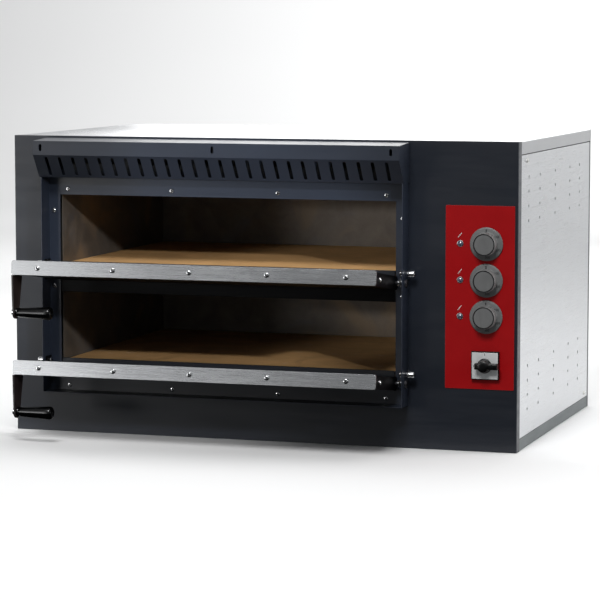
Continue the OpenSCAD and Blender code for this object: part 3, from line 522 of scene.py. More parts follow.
def pick(piece, test):
    """Selects the faces whose middle and normal pass a test, in edit mode."""
    shape = bmesh.from_edit_mesh(piece.data)
    shape.faces.ensure_lookup_table()
    chosen = 0
    for face in shape.faces:
        wanted = test(face.calc_center_median(), face.normal)
        face.select_set(wanted)
        chosen += wanted
    bmesh.update_edit_mesh(piece.data)
    if not chosen:
        raise RuntimeError(f"no face of {piece.name} was found to work on")
    return chosen


def turn_up(name, steps, sides=32):
    """Draws a closed round piece up +Z from its first disc, step by step of (radius, height)."""
    put_down()
    radius, height = steps[0]
    bpy.ops.mesh.primitive_circle_add(vertices=sides, radius=radius, fill_type="NGON", location=(0, 0, height))
    piece = bpy.context.object
    piece.name = name
    bpy.ops.object.transform_apply(location=True, rotation=False, scale=False)
    bpy.ops.object.mode_set(mode="EDIT")
    bpy.ops.mesh.select_mode(type="FACE")
    bpy.ops.mesh.select_all(action="SELECT")
    for r, z in steps[1:]:
        bpy.ops.mesh.extrude_region_move(TRANSFORM_OT_translate={"value": (0, 0, z - height)})
        if abs(r - radius) > 1e-9:
            bpy.ops.transform.resize(value=(r / radius, r / radius, 1), center_override=(0, 0, z))
        radius, height = r, z
    bpy.ops.mesh.select_all(action="SELECT")
    bpy.ops.mesh.normals_make_consistent(inside=False)
    put_down()
    return piece


def block_up(name, size, at=(0, 0, 0)):
    """A block of a given size about a point, ready to be shaped."""
    put_down()
    bpy.ops.mesh.primitive_cube_add(size=1, location=at)
    piece = bpy.context.object
    piece.name = name
    piece.scale = size
    bpy.ops.object.transform_apply(location=True, rotation=False, scale=True)
    put_down()
    return piece


def apply_all(piece):
    """Applies every modifier in order."""
    take(piece)
    for m in list(piece.modifiers):
        bpy.ops.object.modifier_apply(modifier=m.name)
    put_down()
    return piece


def round_edges(piece, width, segments=2, angle=30):
    m = piece.modifiers.new("Rounded", "BEVEL")
    m.width = width
    m.segments = segments
    m.limit_method = "ANGLE"
    m.angle_limit = math.radians(angle)
    return apply_all(piece)


def cut_away(piece, cutter):
    """Cuts one shape out of another."""
    m = piece.modifiers.new("Cut", "BOOLEAN")
    m.operation = "DIFFERENCE"
    m.solver = "EXACT"
    m.object = cutter
    apply_all(piece)
    bpy.data.objects.remove(cutter)
    return piece


def smooth(piece, angle=32):
    take(piece)
    bpy.ops.object.shade_smooth_by_angle(angle=math.radians(angle))
    put_down()
    return piece


def stand(piece, at, axis, spin=0.0):
    """Moves a piece drawn up +Z to a place and turns it along an axis."""
    take(piece)
    piece.rotation_mode = "QUATERNION"
    aim = Vector(axis).to_track_quat("Z", "Y")
    piece.rotation_quaternion = aim @ Euler((0, 0, spin)).to_quaternion()
    piece.location = at
    bpy.ops.object.transform_apply(location=True, rotation=True, scale=True)
    piece.rotation_mode = "XYZ"
    put_down()
    return piece


def shift(piece, at, turn=(0, 0, 0)):
    """Turns a piece about the origin by angles in degrees, then moves it."""
    take(piece)
    piece.rotation_mode = "XYZ"
    piece.rotation_euler = [math.radians(a) for a in turn]
    piece.location = at
    bpy.ops.object.transform_apply(location=True, rotation=True, scale=True)
    put_down()
    return piece


def copy_of(piece):
    twin = piece.copy()
    twin.data = piece.data.copy()
    bpy.context.collection.objects.link(twin)
    return twin


def join(*pieces):
    if len(pieces) > 1:
        take(*pieces)
        bpy.ops.object.join()
    put_down()
    return pieces[0]


def paint(piece, *finishes):
    """Gives a piece its finishes; its faces choose among them by index."""
    piece.data.materials.clear()
    for name in finishes:
        piece.data.materials.append(finish(name))
    return piece


def paint_index(part, index, *finishes):
    """Gives a part of a piece the piece's finishes, with all its faces on one of them."""
    paint(part, *finishes)
    for polygon in part.data.polygons:
        polygon.material_index = index
    return part


def hand_over(piece, name, body, slot, *stands_for):
    """Names a finished piece and puts it on its body."""
    piece.name = name
    piece.data.name = name
    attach(piece, body)
    if stands_for:
        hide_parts(*stands_for)
    return piece


def lettering(text, height, thick):
    """Numbers as a thin raised print, flat in X and Y about the origin."""
    put_down()
    bpy.ops.object.text_add(location=(0, 0, 0))
    made = bpy.context.object
    made.data.body = text
    made.data.size = height * 1.38
    made.data.align_x = "CENTER"
    made.data.align_y = "CENTER"
    made.data.resolution_u = 3
    made.data.extrude = thick / 2
    bpy.ops.object.convert(target="MESH")
    made = bpy.context.object
    open_mesh(made)
    bpy.ops.mesh.select_all(action="SELECT")
    bpy.ops.mesh.remove_doubles(threshold=1e-6)
    put_down()
    return made


# ---- Fixings ----

HEAD_H = 2.8 * MM           # height of a raised screw head
LOW_HEAD_H = 1.3 * MM       # height of the door surround's flat heads
KEY_R = 2.9 * MM            # corner radius of the bolts' hexagon sockets
NUT_R = 5.77 * MM           # corner radius of a 10 mm hexagon
BAND_REACH = 0.150          # the band's screws lie further than this from the pivot
PLATE_REACH = 0.1005        # and the end plates' screws lie at this
LEVER_REACH = 0.115         # the lever's screws lie between here and the band's
GRIP_DROP, GRIP_REACH = 76.0, 133.5     # mm from the pivot to the grip's axis, across and along the open door
INNER_DEPTH = -0.03         # screws of the band and the lever lie above this, past the grip's bolt


def socket_screw(head, high, shank, length, finish_name="chrome"):
    """Button-head screw with a hexagon socket; its seat is at the origin and its head looks along +Z."""
    sizes = bpy.context.scene.oven_sizes
    r, flat = head / 2, sizes.socket / 2
    steps = [(shank / 2 * 0.7, -length), (shank / 2, -length + 0.5 * MM), (shank / 2, 0), (r, 0), (r, high * 0.18),
             (r * 0.965, high * 0.42), (r * 0.87, high * 0.70), (r * 0.72, high * 0.90), (r * 0.56, high),
             (r * 0.3, high)]
    piece = turn_up("screw", steps, 24)
    deep = min(high * 0.75, 1.6 * MM)
    cutter = turn_up("socket", [(flat / math.cos(math.pi / 6), high - deep),
                                (flat / math.cos(math.pi / 6), high + MM)], 6)
    cut_away(piece, cutter)
    # The inner faces of the socket take the dark finish: painted shade in the recess.
    paint(piece, finish_name, "black oxide")
    for face in piece.data.polygons:
        inside = math.hypot(face.center.x, face.center.y) < flat * 1.03 and face.center.z > 0
        face.material_index = 1 if inside else 0
    return smooth(piece, 35)


def at_heads(pattern, node, axis, high, wanted=lambda p: True):
    """Copies of a screw on each head of a node that looks along an axis."""
    made = []
    for points in solids(node):
        top = head_top(points, axis)
        if wanted(top):
            turn = 0.9 * len(made) + 40 * top.x
            made.append(stand(copy_of(pattern), top - axis * high, axis, turn))
    return made


class OVEN_OT_casing_screws(Operator):
    """Screws of the side and back panels and of the door surround"""

    bl_idname = "oven.casing_screws"
    bl_label = "Casing Screws"

    def execute(self, context):
        pattern = socket_screw(8 * MM, HEAD_H, 3.4 * MM, 8 * MM, "zinc plate")
        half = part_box("front_panel")[1].x - 0.004
        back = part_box("casing_screws")[1].y - 0.001
        made = []
        for axis, wanted in (((1, 0, 0), lambda p: p.x > half), ((-1, 0, 0), lambda p: p.x < -half),
                             ((0, 1, 0), lambda p: p.y > back)):
            made += at_heads(pattern, "casing_screws", Vector(axis), HEAD_H, wanted)
        bpy.data.objects.remove(pattern)
        hand_over(join(*made), "Casing_screws", "casing", "zinc_fixings", "casing_screws")
        pattern = socket_screw(8 * MM, LOW_HEAD_H, 3.2 * MM, 6.5 * MM)
        made = at_heads(pattern, "surround_screws", Vector((0, -1, 0)), LOW_HEAD_H)
        bpy.data.objects.remove(pattern)
        hand_over(join(*made), "Surround_screws", "casing", "chrome_fixings", "surround_screws")
        return {"FINISHED"}


def door_axes(deck):
    """The pivot of an open door, the way its front edge looks and the way its inner face looks."""
    pivot = hinge(deck)
    lo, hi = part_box(f"{deck}_door_grip")
    grip = (lo + hi) / 2 - pivot
    tilt = math.atan2(grip.z, -grip.y) + math.atan2(GRIP_DROP, GRIP_REACH)
    along = Vector((0, -math.cos(tilt), math.sin(tilt)))
    return pivot, along, Vector((0, math.sin(tilt), math.cos(tilt)))


class OVEN_OT_door_screws(Operator):
    """Screws of the doors' bands, end plates and levers, with the bolt through each grip"""

    bl_idname = "oven.door_screws"
    bl_label = "Door Screws"

    def execute(self, context):
        for deck in DECKS:
            node = f"{deck}_door_screws"
            pivot, along, up = door_axes(deck)
            reach = lambda p: (p - pivot).dot(along)
            depth = lambda p: (p - pivot).dot(up)
            centre = middle(f"{deck}_door_band").x
            near = lambda p: abs(reach(p) - PLATE_REACH) < 8 * MM
            far = lambda p: LEVER_REACH < reach(p) < BAND_REACH and depth(p) > INNER_DEPTH
            rows = (
                (along, 9, 3.2, 6, lambda p: reach(p) > BAND_REACH and depth(p) > INNER_DEPTH),
                (Vector((1, 0, 0)), 8.5, 3.4, 6, lambda p: near(p) and p.x > centre),
                (Vector((-1, 0, 0)), 8.5, 3.4, 6, lambda p: near(p) and p.x < centre),
                (Vector((1, 0, 0)), 7.5, 4, 12, far),
            )
            made = []
            for axis, head, shank, long, wanted in rows:
                pattern = socket_screw(head * MM, HEAD_H, shank * MM, long * MM)
                made += at_heads(pattern, node, axis, HEAD_H, wanted)
                bpy.data.objects.remove(pattern)
            grip_lo, grip_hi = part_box(f"{deck}_door_grip")
            lever_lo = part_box(f"{deck}_door_lever")[0]
            axis_y, axis_z = (grip_lo.y + grip_hi.y) / 2, (grip_lo.z + grip_hi.z) / 2
            start = lever_lo.x - 3 * MM
            length = grip_hi.x - start - 4.4 * MM
            bolt = turn_up("bolt", [(2.6 * MM, 0), (3 * MM, 0.4 * MM), (3 * MM, length - 1.5 * MM),
                                    (4.5 * MM, length - 1.5 * MM), (4.5 * MM, length + 1.0 * MM),
                                    (3.9 * MM, length + 1.5 * MM), (1.4 * MM, length + 1.5 * MM),
                                    (1.2 * MM, length + 0.8 * MM)], 24)
            nut = round_edges(turn_up("nut", [(NUT_R, -2 * MM), (NUT_R, 3 * MM)], 6), 0.5 * MM, 2)
            for part in (smooth(bolt), smooth(nut)):
                made.append(stand(paint(part, "chrome", "black oxide"), (start, axis_y, axis_z), (1, 0, 0)))
            hand_over(join(*made), f"{deck.title()}_door_screws", f"{deck}_door", "chrome_fixings", node)
        return {"FINISHED"}


class OVEN_OT_hinge_bolts(Operator):
    """Knurled clamp bolts beside the hinges, and the pivot bolts under them"""

    bl_idname = "oven.hinge_bolts"
    bl_label = "Hinge Bolts"

    def execute(self, context):
        centre = middle("door_surround").x
        sides = context.scene.oven_sizes.knurls * 2
        made = []
        for points in solids("hinge_clamp_bolts"):
            out = 1 if points[0].x > centre else -1
            axis = Vector((out, 0, 0))
            tip, tail = head_top(points, axis), head_top(points, -axis)
            head = turn_up("head", [(3 * MM, -16 * MM), (5.0 * MM, -16 * MM), (5.25 * MM, -15.6 * MM),
                                    (5.25 * MM, -12.2 * MM),
                                    (4.6 * MM, -11.8 * MM), (4.6 * MM, -11.0 * MM), (5.25 * MM, -10.6 * MM),
                                    (5.25 * MM, -1.1 * MM), (4.95 * MM, -0.35 * MM), (4.3 * MM, 0),
                                    (3.6 * MM, 0)], sides)
            open_mesh(head)
            step = math.tau / sides
            pick(head, lambda c, n: -10.6 * MM < c.z < -1.1 * MM and abs(n.z) < 0.2
                 and int((math.atan2(c.y, c.x) % math.tau) / step) % 2 == 0)
            bpy.ops.mesh.inset(thickness=0.12 * MM, depth=-0.28 * MM, use_individual=True)
            put_down()
            socket = turn_up("socket", [(KEY_R, -6 * MM), (KEY_R, MM)], 6)
            cut_away(head, socket)
            made.append(stand(smooth(head, 40), tip, axis))
            inner = turn_up("inner", [(NUT_R, 0), (NUT_R, 4.2 * MM)], 6)
            made.append(stand(smooth(round_edges(inner, 0.5 * MM)), tail, axis))
            shank = turn_up("shank", [(2.2 * MM, -0.5 * MM), (2.9 * MM, 0.2 * MM)]
                            + [(r * MM, (4.2 + i * 0.5) * MM) for i, r in enumerate((2.95, 2.5) * 2)]
                            + [(2.95 * MM, (tip - tail).length - 12 * MM)], 20)
            made.append(stand(smooth(shank), tail + axis * 0.5 * MM, axis))
        hand_over(paint(join(*made), "chrome"), "Hinge_clamp_bolts", "casing", "chrome_fixings", "hinge_clamp_bolts")
        made = []
        for points in solids("pivot_bolts"):
            out = 1 if sum(p.x for p in points) / len(points) > centre else -1
            axis = Vector((out, 0, 0))
            tip, tail = head_top(points, axis), head_top(points, -axis)
            length = (tip - tail).length
            head = turn_up("head", [(3.4 * MM, -length), (4 * MM, 0.6 * MM - length), (4 * MM, -3.5 * MM),
                                    (7.2 * MM, -3.5 * MM),
                                    (7.5 * MM, -3.2 * MM), (7.3 * MM, -1.8 * MM), (6.4 * MM, -0.6 * MM),
                                    (5 * MM, -0.1 * MM),
                                    (4 * MM, 0), (3.4 * MM, 0)], 36)
            cut_away(head, turn_up("socket", [(KEY_R, -2 * MM), (KEY_R, MM)], 6))
            made.append(stand(smooth(head, 38), tip, axis))
        hand_over(paint(join(*made), "black oxide"), "Pivot_bolts", "casing", "black_bolts", "pivot_bolts")
        return {"FINISHED"}


# ---- Doors ----


class OVEN_OT_door_grips(Operator):
    """Moulded grips on the door levers"""

    bl_idname = "oven.door_grips"
    bl_label = "Door Grips"

    def execute(self, context):
        for deck in DECKS:
            lo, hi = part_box(f"{deck}_door_grip")
            length, tip = hi.x - lo.x, (hi.z - lo.z) / 2
            root = tip * 0.71
            steps = [(4.6 * MM, 0), (root * 0.96, 0), (root, 0.5 * MM), (root, 2.2 * MM), (root * 0.93, 2.9 * MM),
                     (root * 0.93, 3.6 * MM), (root * 0.985, 4.4 * MM)]
            for i in range(1, 9):
                share = i / 8
                radius = root * 0.985 + (tip - root * 0.985) * share ** 0.85
                steps.append((radius, 4.4 * MM + share * (length - 11 * MM)))
            end = length - 6.6 * MM
            for i in range(1, 8):
                a = math.radians(12 * i)
                steps.append((tip - 5.6 * MM * (1 - math.cos(a)), end + 6.6 * MM * math.sin(a)))
            steps += [(5.2 * MM, length), (4.9 * MM, length - 0.3 * MM), (4.85 * MM, length - 5 * MM),
                      (3.2 * MM, length - 5 * MM)]
            grip = smooth(turn_up("grip", steps, 56), 42)
            at = (lo.x, (lo.y + hi.y) / 2, (lo.z + hi.z) / 2)
            stand(grip, at, (1, 0, 0))
            hand_over(paint(grip, "grip bakelite"), f"{deck.title()}_door_grip", f"{deck}_door", "grip_black",
                      f"{deck}_door_grip")
        return {"FINISHED"}


class OVEN_OT_door_finishes(Operator):
    """Finishes of the doors' sheet metal, bands and levers"""

    bl_idname = "oven.door_finishes"
    bl_label = "Door Finishes"

    def execute(self, context):
        for deck in DECKS:
            coat("black enamel", f"{deck}_door_shell", f"{deck}_door_end_plates")
            coat("stained lining", f"{deck}_door_liner")
            coat("wool board painted dark", f"{deck}_door_insulation")
            coat("band steel", f"{deck}_door_band")
            coat("lever coat", f"{deck}_door_lever")
        return {"FINISHED"}


# ---- Controls ----


class OVEN_OT_thermostat_knobs(Operator):
    """Dial knobs with a grooved cap and a printed scale"""

    bl_idname = "oven.thermostat_knobs"
    bl_label = "Thermostat Knobs"

    def execute(self, context):
        sizes = context.scene.oven_sizes
        for row in ROWS:
            lo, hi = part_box(f"{row}_knob")
            skirt, high = (hi.x - lo.x) / 2, hi.y - lo.y - 0.3 * MM
            cap = skirt * 0.68
            ring = sizes.dial_ring
            rim = cap - 0.75 * MM
            steps = [(skirt - 0.5 * MM, 0), (skirt, 0.4 * MM), (skirt, 1.5 * MM), (skirt - 0.5 * MM, 2.2 * MM),
                     (skirt - 1.6 * MM, 2.9 * MM), (skirt - 2.6 * MM, 3.2 * MM), (cap + 1.6 * MM, 3.2 * MM),
                     (cap + 0.7 * MM, 3.5 * MM), (cap + 0.15 * MM, 4.3 * MM), (cap, 5.2 * MM),
                     (cap - 0.25 * MM, high - 1.2 * MM), (cap - 0.4 * MM, high - 0.45 * MM), (rim, high - 0.05 * MM),
                     (rim - 0.1 * MM, high), (rim - 0.15 * MM, high - 0.7 * MM), (rim - ring, high - 0.7 * MM),
                     (rim - ring - 0.1 * MM, high), (rim - ring - 0.6 * MM, high + 0.05 * MM),
                     (cap * 0.5, high - 0.15 * MM),
                     (cap * 0.15, high - 0.25 * MM)]
            knob = turn_up("knob", steps, 96)
            paint(knob, "knob moulding", "black ink and groove shade")
            # The faces of the groove round the cap take the black ink: painted shade in the groove.
            for face in knob.data.polygons:
                reach = math.hypot(face.center.x, face.center.y)
                low = high - 0.8 * MM < face.center.z < high - 0.2 * MM
                face.material_index = 1 if low and rim - ring - 0.3 * MM < reach < rim else 0
            smooth(knob, 40)
            tick = block_up("tick", (1.7 * MM, 4.8 * MM, 0.3 * MM), (0, skirt - 5.9 * MM, 3.3 * MM))
            marks = [tick]
            for number, angle in (("100", 56), ("200", 115), ("300", 174)):
                a = math.radians(angle)
                mark = lettering(number, sizes.number_h, 0.3 * MM)
                reach = skirt - 5.8 * MM
                marks.append(shift(mark, (reach * math.sin(a), reach * math.cos(a), 3.3 * MM)))
            for mark in marks:
                paint(mark, "black ink and groove shade")
            whole = join(knob, *marks)
            shift(whole, ((lo.x + hi.x) / 2, hi.y, (lo.z + hi.z) / 2), (90, 0, 0))
            hand_over(whole, f"{row.title()}_knob", f"{row}_knob", "knob_grey", f"{row}_knob")
            coat("zinc plate", f"{row}_knob_shaft")
        return {"FINISHED"}


class OVEN_OT_pilot_lamps(Operator):
    """Faceted pilot lamps with a plated bezel, and the flash mark over each"""

    bl_idname = "oven.pilot_lamps"
    bl_label = "Pilot Lamps"

    def execute(self, context):
        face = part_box("control_plate")[0].y
        for row in ROWS:
            lo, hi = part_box(f"{row}_pilot_lamp")
            x, z = (lo.x + hi.x) / 2, (lo.z + hi.z) / 2
            proud = face - lo.y
            r = (hi.x - lo.x) / 2 - 1.5 * MM
            bezel = smooth(turn_up("bezel", [(r * 0.86, -0.3 * MM), (r, 0), (r, 0.5 * MM), (r * 0.94, 0.9 * MM),
                                             (r * 0.84, 1.0 * MM), (r * 0.8, 0.4 * MM), (r * 0.5, 0.2 * MM)], 40))
            lens = turn_up("lens", [(r * 0.78, 0.1 * MM), (r * 0.78, 0.9 * MM), (r * 0.6, 1.9 * MM),
                                    (r * 0.34, proud - 0.25 * MM), (r * 0.12, proud)], 8)
            inner = r - 1.15 * MM
            body = turn_up("body", [(inner - 0.4 * MM, -(hi.y - face)), (inner, 0.8 * MM - (hi.y - face)),
                                    (inner, -4 * MM), (inner, 0)], 24)
            nut = round_edges(turn_up("nut", [(r + 1.3 * MM, -6.6 * MM), (r + 1.3 * MM, -2.9 * MM)], 6), 0.4 * MM)
            paint(bezel, "zinc plate", "lamp lens", "switch black")
            for part, index in ((lens, 1), (body, 2), (nut, 2)):
                paint_index(part, index, "zinc plate", "lamp lens", "switch black")
            lamp = join(bezel, lens, body, nut)
            stand(lamp, (x, face, z), (0, -1, 0))
            hand_over(lamp, f"{row.title()}_pilot_lamp", "casing", "lamp_lens", f"{row}_pilot_lamp")
            bars = []
            for dx, dz in ((-1.5, -1.9), (1.5, 1.9)):
                bar = block_up("bar", (0.95 * MM, 5.4 * MM, 0.2 * MM))
                bars.append(shift(bar, (x + (dx - 0.6) * MM, face - 0.02 * MM, z + (dz + 14.4) * MM), (90, 40, 0)))
            link = block_up("link", (2.6 * MM, 0.2 * MM, 0.9 * MM), (x - 0.6 * MM, face - 0.02 * MM, z + 14.4 * MM))
            hand_over(paint(join(*bars, link), "ink white"), f"{row.title()}_flash_mark", "casing", "switch_white")
        return {"FINISHED"}


class OVEN_OT_main_switch(Operator):
    """Main switch: a plate on a black base, its position marks and a moulded pointer handle"""

    bl_idname = "oven.main_switch"
    bl_label = "Main Switch"

    def execute(self, context):
        lo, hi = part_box("main_switch_plate")
        x, z, side = (lo.x + hi.x) / 2, (lo.z + hi.z) / 2, hi.x - lo.x
        base = block_up("base", (side, 6.4 * MM, side), (x, hi.y - 3.2 * MM, z))
        open_mesh(base)
        pick(base, lambda c, n: n.y < -0.9)
        bpy.ops.mesh.inset(thickness=1.4 * MM, depth=0)
        bpy.ops.mesh.inset(thickness=0.01 * MM, depth=-0.5 * MM)
        put_down()
        smooth(round_edges(base, 0.45 * MM, 2))
        front = block_up("front", (side - 3.4 * MM, 1.9 * MM, side - 3.4 * MM), (x, lo.y + 0.95 * MM, z))
        open_mesh(front)
        pick(front, lambda c, n: n.y < -0.9)
        bpy.ops.mesh.inset(thickness=1.1 * MM, depth=0.25 * MM)
        put_down()
        smooth(round_edges(front, 0.3 * MM, 2))
        tick = block_up("tick", (0.9 * MM, 0.25 * MM, 4.2 * MM), (x, lo.y - 0.25 * MM, z + side * 0.40))
        ring = lettering("0", 3.6 * MM, 0.25 * MM)
        shift(ring, (x - side * 0.39, lo.y - 0.25 * MM, z - side * 0.02), (90, 0, 0))
        hole = turn_up("hole", [(6.2 * MM, -0.02), (6.2 * MM, 0.02)], 40)
        stand(hole, (x, hi.y, z), (0, -1, 0))
        cut_away(base, copy_of(hole))
        cut_away(front, hole)
        parts = [paint_index(part, index, "switch white", "switch black")
                 for part, index in ((front, 0), (base, 1), (tick, 1), (ring, 1))]
        hand_over(join(*parts), "Main_switch_plate", "casing", "switch_white", "main_switch_plate")

        lo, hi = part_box("main_switch_handle")
        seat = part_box("main_switch_plate")[0].y - 0.3 * MM
        proud = seat - lo.y
        hub = turn_up("hub", [(12.2 * MM, 0), (12.6 * MM, 0.5 * MM), (12.5 * MM, 2.6 * MM), (11.9 * MM, 3.5 * MM),
                              (11.2 * MM, 3.8 * MM), (10.8 * MM, 5 * MM), (10.3 * MM, proud * 0.74),
                              (9.3 * MM, proud * 0.92),
                              (7.4 * MM, proud - 0.3 * MM), (4.5 * MM, proud), (1.0 * MM, proud)], 64)
        smooth(hub, 40)
        left, right = lo.x - x, hi.x - x
        arm = block_up("arm", (right - left, 12.4 * MM, proud * 0.86), ((left + right) / 2, 0, proud * 0.5))
        open_mesh(arm)
        pick(arm, lambda c, n: n.x > 0.9)
        bpy.ops.transform.resize(value=(1, 0.82, 0.8), center_override=(right, 0, proud * 0.3))
        pick(arm, lambda c, n: n.x < -0.9)
        bpy.ops.transform.resize(value=(1, 0.85, 0.86), center_override=(left, 0, proud * 0.3))
        put_down()
        smooth(round_edges(arm, 1.7 * MM, 4), 40)
        spindle = smooth(turn_up("spindle", [(4 * MM, -14 * MM), (4 * MM, 1 * MM)], 24))
        handle = paint(join(hub, arm, spindle), "switch black")
        shift(handle, (x, seat, z), (90, 0, 0))
        hand_over(handle, "Main_switch_handle", "main_switch", "switch_black", "main_switch_handle")
        coat("switch black", "main_switch_body")
        return {"FINISHED"}


# ---- Chambers and casing ----


class OVEN_OT_deck_stones(Operator):
    """Refractory stones with rounded, slightly uneven edges"""

    bl_idname = "oven.deck_stones"
    bl_label = "Deck Stones"

    def execute(self, context):
        edge = context.scene.oven_sizes.stone_edge
        for deck in DECKS:
            lo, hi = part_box(f"{deck}_stone")
            stone = block_up("stone", tuple(hi - lo), tuple((lo + hi) / 2))
            open_mesh(stone, "EDGE")
            bpy.ops.mesh.select_all(action="SELECT")
            bpy.ops.mesh.bevel(offset=edge, segments=3, affect="EDGES")
            bpy.ops.mesh.select_mode(type="FACE")
            pick(stone, lambda c, n: abs(n.z) > 0.95 or abs(n.y) > 0.95 or abs(n.x) > 0.95)
            bpy.ops.mesh.subdivide(number_cuts=24)
            put_down()
            for v in stone.data.vertices:
                wave = noise.noise(v.co * 38) * 0.22 * MM + noise.noise(v.co * 150) * 0.10 * MM
                inward = Vector([max(-1, min(1, (c - m) / (s / 2))) ** 9 for c, m, s in
                                 zip(v.co, (lo + hi) / 2, hi - lo)])
                v.co -= inward * (0.34 * MM + wave)
            smooth(stone, 50)
            hand_over(paint(stone, "fired stone"), f"{deck.title()}_stone", "casing", "refractory_stone",
                      f"{deck}_stone")
        return {"FINISHED"}


class OVEN_OT_chambers(Operator):
    """Finishes of the chamber linings, heaters, bulbs and insulation"""

    bl_idname = "oven.chambers"
    bl_label = "Chambers"

    def execute(self, context):
        for deck in DECKS:
            coat("stained lining", f"{deck}_chamber_liner")
            coat("heater sheath", f"{deck}_heating_elements")
        coat("copper", "thermostat_bulbs")
        coat("wool board painted dark", "insulation_slabs")
        for row in ROWS:
            coat("thermostat case", f"{row}_thermostat")
        coat("porcelain", "terminal_block")
        coat("sill coat", "stone_sills")
        return {"FINISHED"}


class OVEN_OT_casing(Operator):
    """Finishes of the casing, the hood, the door surround and the hinge parts"""

    bl_idname = "oven.casing"
    bl_label = "Casing"

    def execute(self, context):
        coat("casing coat", "front_panel", "back_panel")
        # The hood and the surround take lighter copies of the casing paint: painted light.
        coat("hood coat painted lighter", "vent_hood")
        coat("surround coat painted lighter", "door_surround")
        coat("black enamel", "middle_rail", "hinge_brackets")
        # A darker copy of the stainless: painted shade.
        coat("cover steel painted darker", "top_cover")
        coat("steel along y", "left_side_panel", "right_side_panel")
        coat("base coat", "base_tray")
        coat("dark primer", "chassis_frame")
        coat("zinc sheet", "compartment_wall")
        coat("control lacquer", "control_plate")
        coat("chrome", "pivot_nuts")
        return {"FINISHED"}


class OVEN_OT_cable_gland(Operator):
    """Inlet gland with a ribbed dome nut on the back panel"""

    bl_idname = "oven.cable_gland"
    bl_label = "Cable Gland"

    def execute(self, context):
        lo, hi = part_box("cable_gland")
        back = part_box("back_panel")[1].y
        x, z, reach = (lo.x + hi.x) / 2, (lo.z + hi.z) / 2, hi.y - back
        collar = round_edges(turn_up("collar", [(13.6 * MM, 0), (13.6 * MM, 5 * MM)], 6), 0.8 * MM, 2)
        dome = turn_up("dome", [(11 * MM, 4 * MM), (12.6 * MM, 5.2 * MM), (12.6 * MM, 11 * MM), (11.8 * MM, 14 * MM),
                                (10.2 * MM, 16.4 * MM), (8.6 * MM, reach), (6.2 * MM, reach),
                                (6 * MM, reach - 0.6 * MM),
                                (6 * MM, 2 * MM)], 48)
        open_mesh(dome)
        pick(dome, lambda c, n: 5.4 * MM < c.z < 11 * MM and math.hypot(c.x, c.y) > 12 * MM and abs(n.z) < 0.3
             and int((math.atan2(c.y, c.x) % math.tau) / (math.tau / 48)) % 3 == 0)
        bpy.ops.mesh.inset(thickness=0.3 * MM, depth=-0.7 * MM, use_individual=True)
        put_down()
        inside = lo.y - back
        nut = round_edges(turn_up("nut", [(14 * MM, -6 * MM), (14 * MM, -1.5 * MM)], 6), 0.6 * MM, 2)
        tail = turn_up("tail", [(6 * MM, inside + 6 * MM), (6 * MM, inside), (9.6 * MM, inside),
                                (9.9 * MM, inside + 0.5 * MM),
                                (9.9 * MM, 4.5 * MM), (8 * MM, 4.5 * MM)], 40)
        gland = join(smooth(collar), smooth(dome), smooth(nut), smooth(tail))
        stand(gland, (x, back, z), (0, 1, 0))
        hand_over(paint(gland, "gland nylon"), "Cable_gland", "casing", "gland_black", "cable_gland")
        return {"FINISHED"}


# ---- Stage ----

# Each card and light: name, place, what it looks at, width and height, power
CARDS = (
    ("Left card", (-2.15, -3.0, 0.75), (-0.3, -0.3, 0.35), (1.2, 1.4), 10.5),
    ("Low left card", (-1.75, -1.9, 0.02), (-0.3, -0.3, 0.3), (1.3, 0.5), 13),
    ("Side card", (1.7, 4.0, 1.1), (0.45, 0.1, 0.45), (1.6, 1.0), 4),
    ("High card", (-0.9, -2.6, 2.3), (-0.1, -0.3, 0.4), (1.8, 0.7), 5.0),
)
LIGHTS = (
    ("Front key", (0.35, -3.0, 3.0), (0, 0, 0.25), (1.2, 0.9), 84),
    ("Overhead", (0.1, 0.3, 3.0), (0, 0.1, 0.4), (3.0, 2.4), 38),
    ("Right side", (3.2, 0.5, 1.2), (0.45, 0.1, 0.3), (2.0, 2.0), 66),
    ("Left side", (-3.2, 0.6, 1.4), (-0.45, 0.1, 0.3), (2.0, 2.0), 46),
    ("Back fill", (-0.4, 3.4, 1.7), (0, 0, 0.3), (2.6, 1.6), 40),
    ("Backdrop", (0, 4.2, 3.4), (-1.2, 8.0, 1.6), (5.0, 1.6), 225),
)
# Each spot: name, place, what it looks at, power, full angle in degrees
SPOTS = (
    ("Right chamber spot", (2.05, -2.42, 1.32), (-0.14, -0.3, 0.27), 230, 13),
    ("Left chamber spot", (-1.2, -3.1, 0.69), (-0.02, -0.3, 0.39), 270, 9.5),
)


def hang(name, data, at, towards):
    """Puts a lamp at a place and turns it to what it looks at."""
    lamp = bpy.data.objects.new(name, data)
    bpy.context.scene.collection.objects.link(lamp)
    lamp.location = at
    lamp.rotation_euler = (Vector(towards) - Vector(at)).to_track_quat("-Z", "Y").to_euler()
    return lamp


def soft_light(name, at, towards, size, power):
    """A large rectangular soft light."""
    data = bpy.data.lights.new(name, "AREA")
    data.shape = "RECTANGLE"
    data.size, data.size_y = size
    data.energy = power
    return hang(name, data, at, towards)


def dark_cloth():
    """A black cloth laid in front of the oven, which only its gloss reflects."""
    put_down()
    bpy.ops.mesh.primitive_plane_add(size=1, location=(0, -3.2, 0.002))
    cloth = bpy.context.object
    cloth.name = "Dark cloth"
    cloth.scale = (9, 5.7, 1)
    bpy.ops.object.transform_apply(location=True, rotation=False, scale=True)
    for ray in ("camera", "diffuse", "shadow", "transmission"):
        setattr(cloth, "visible_" + ray, False)
    cloth.data.materials.append(Finish("black felt", (0.004, 0.004, 0.004), 0.95, specular_ior_level=0.0).done())


def card(lamp):
    """Turns a light into a reflector card that only shows in gloss."""
    lamp.visible_diffuse = False


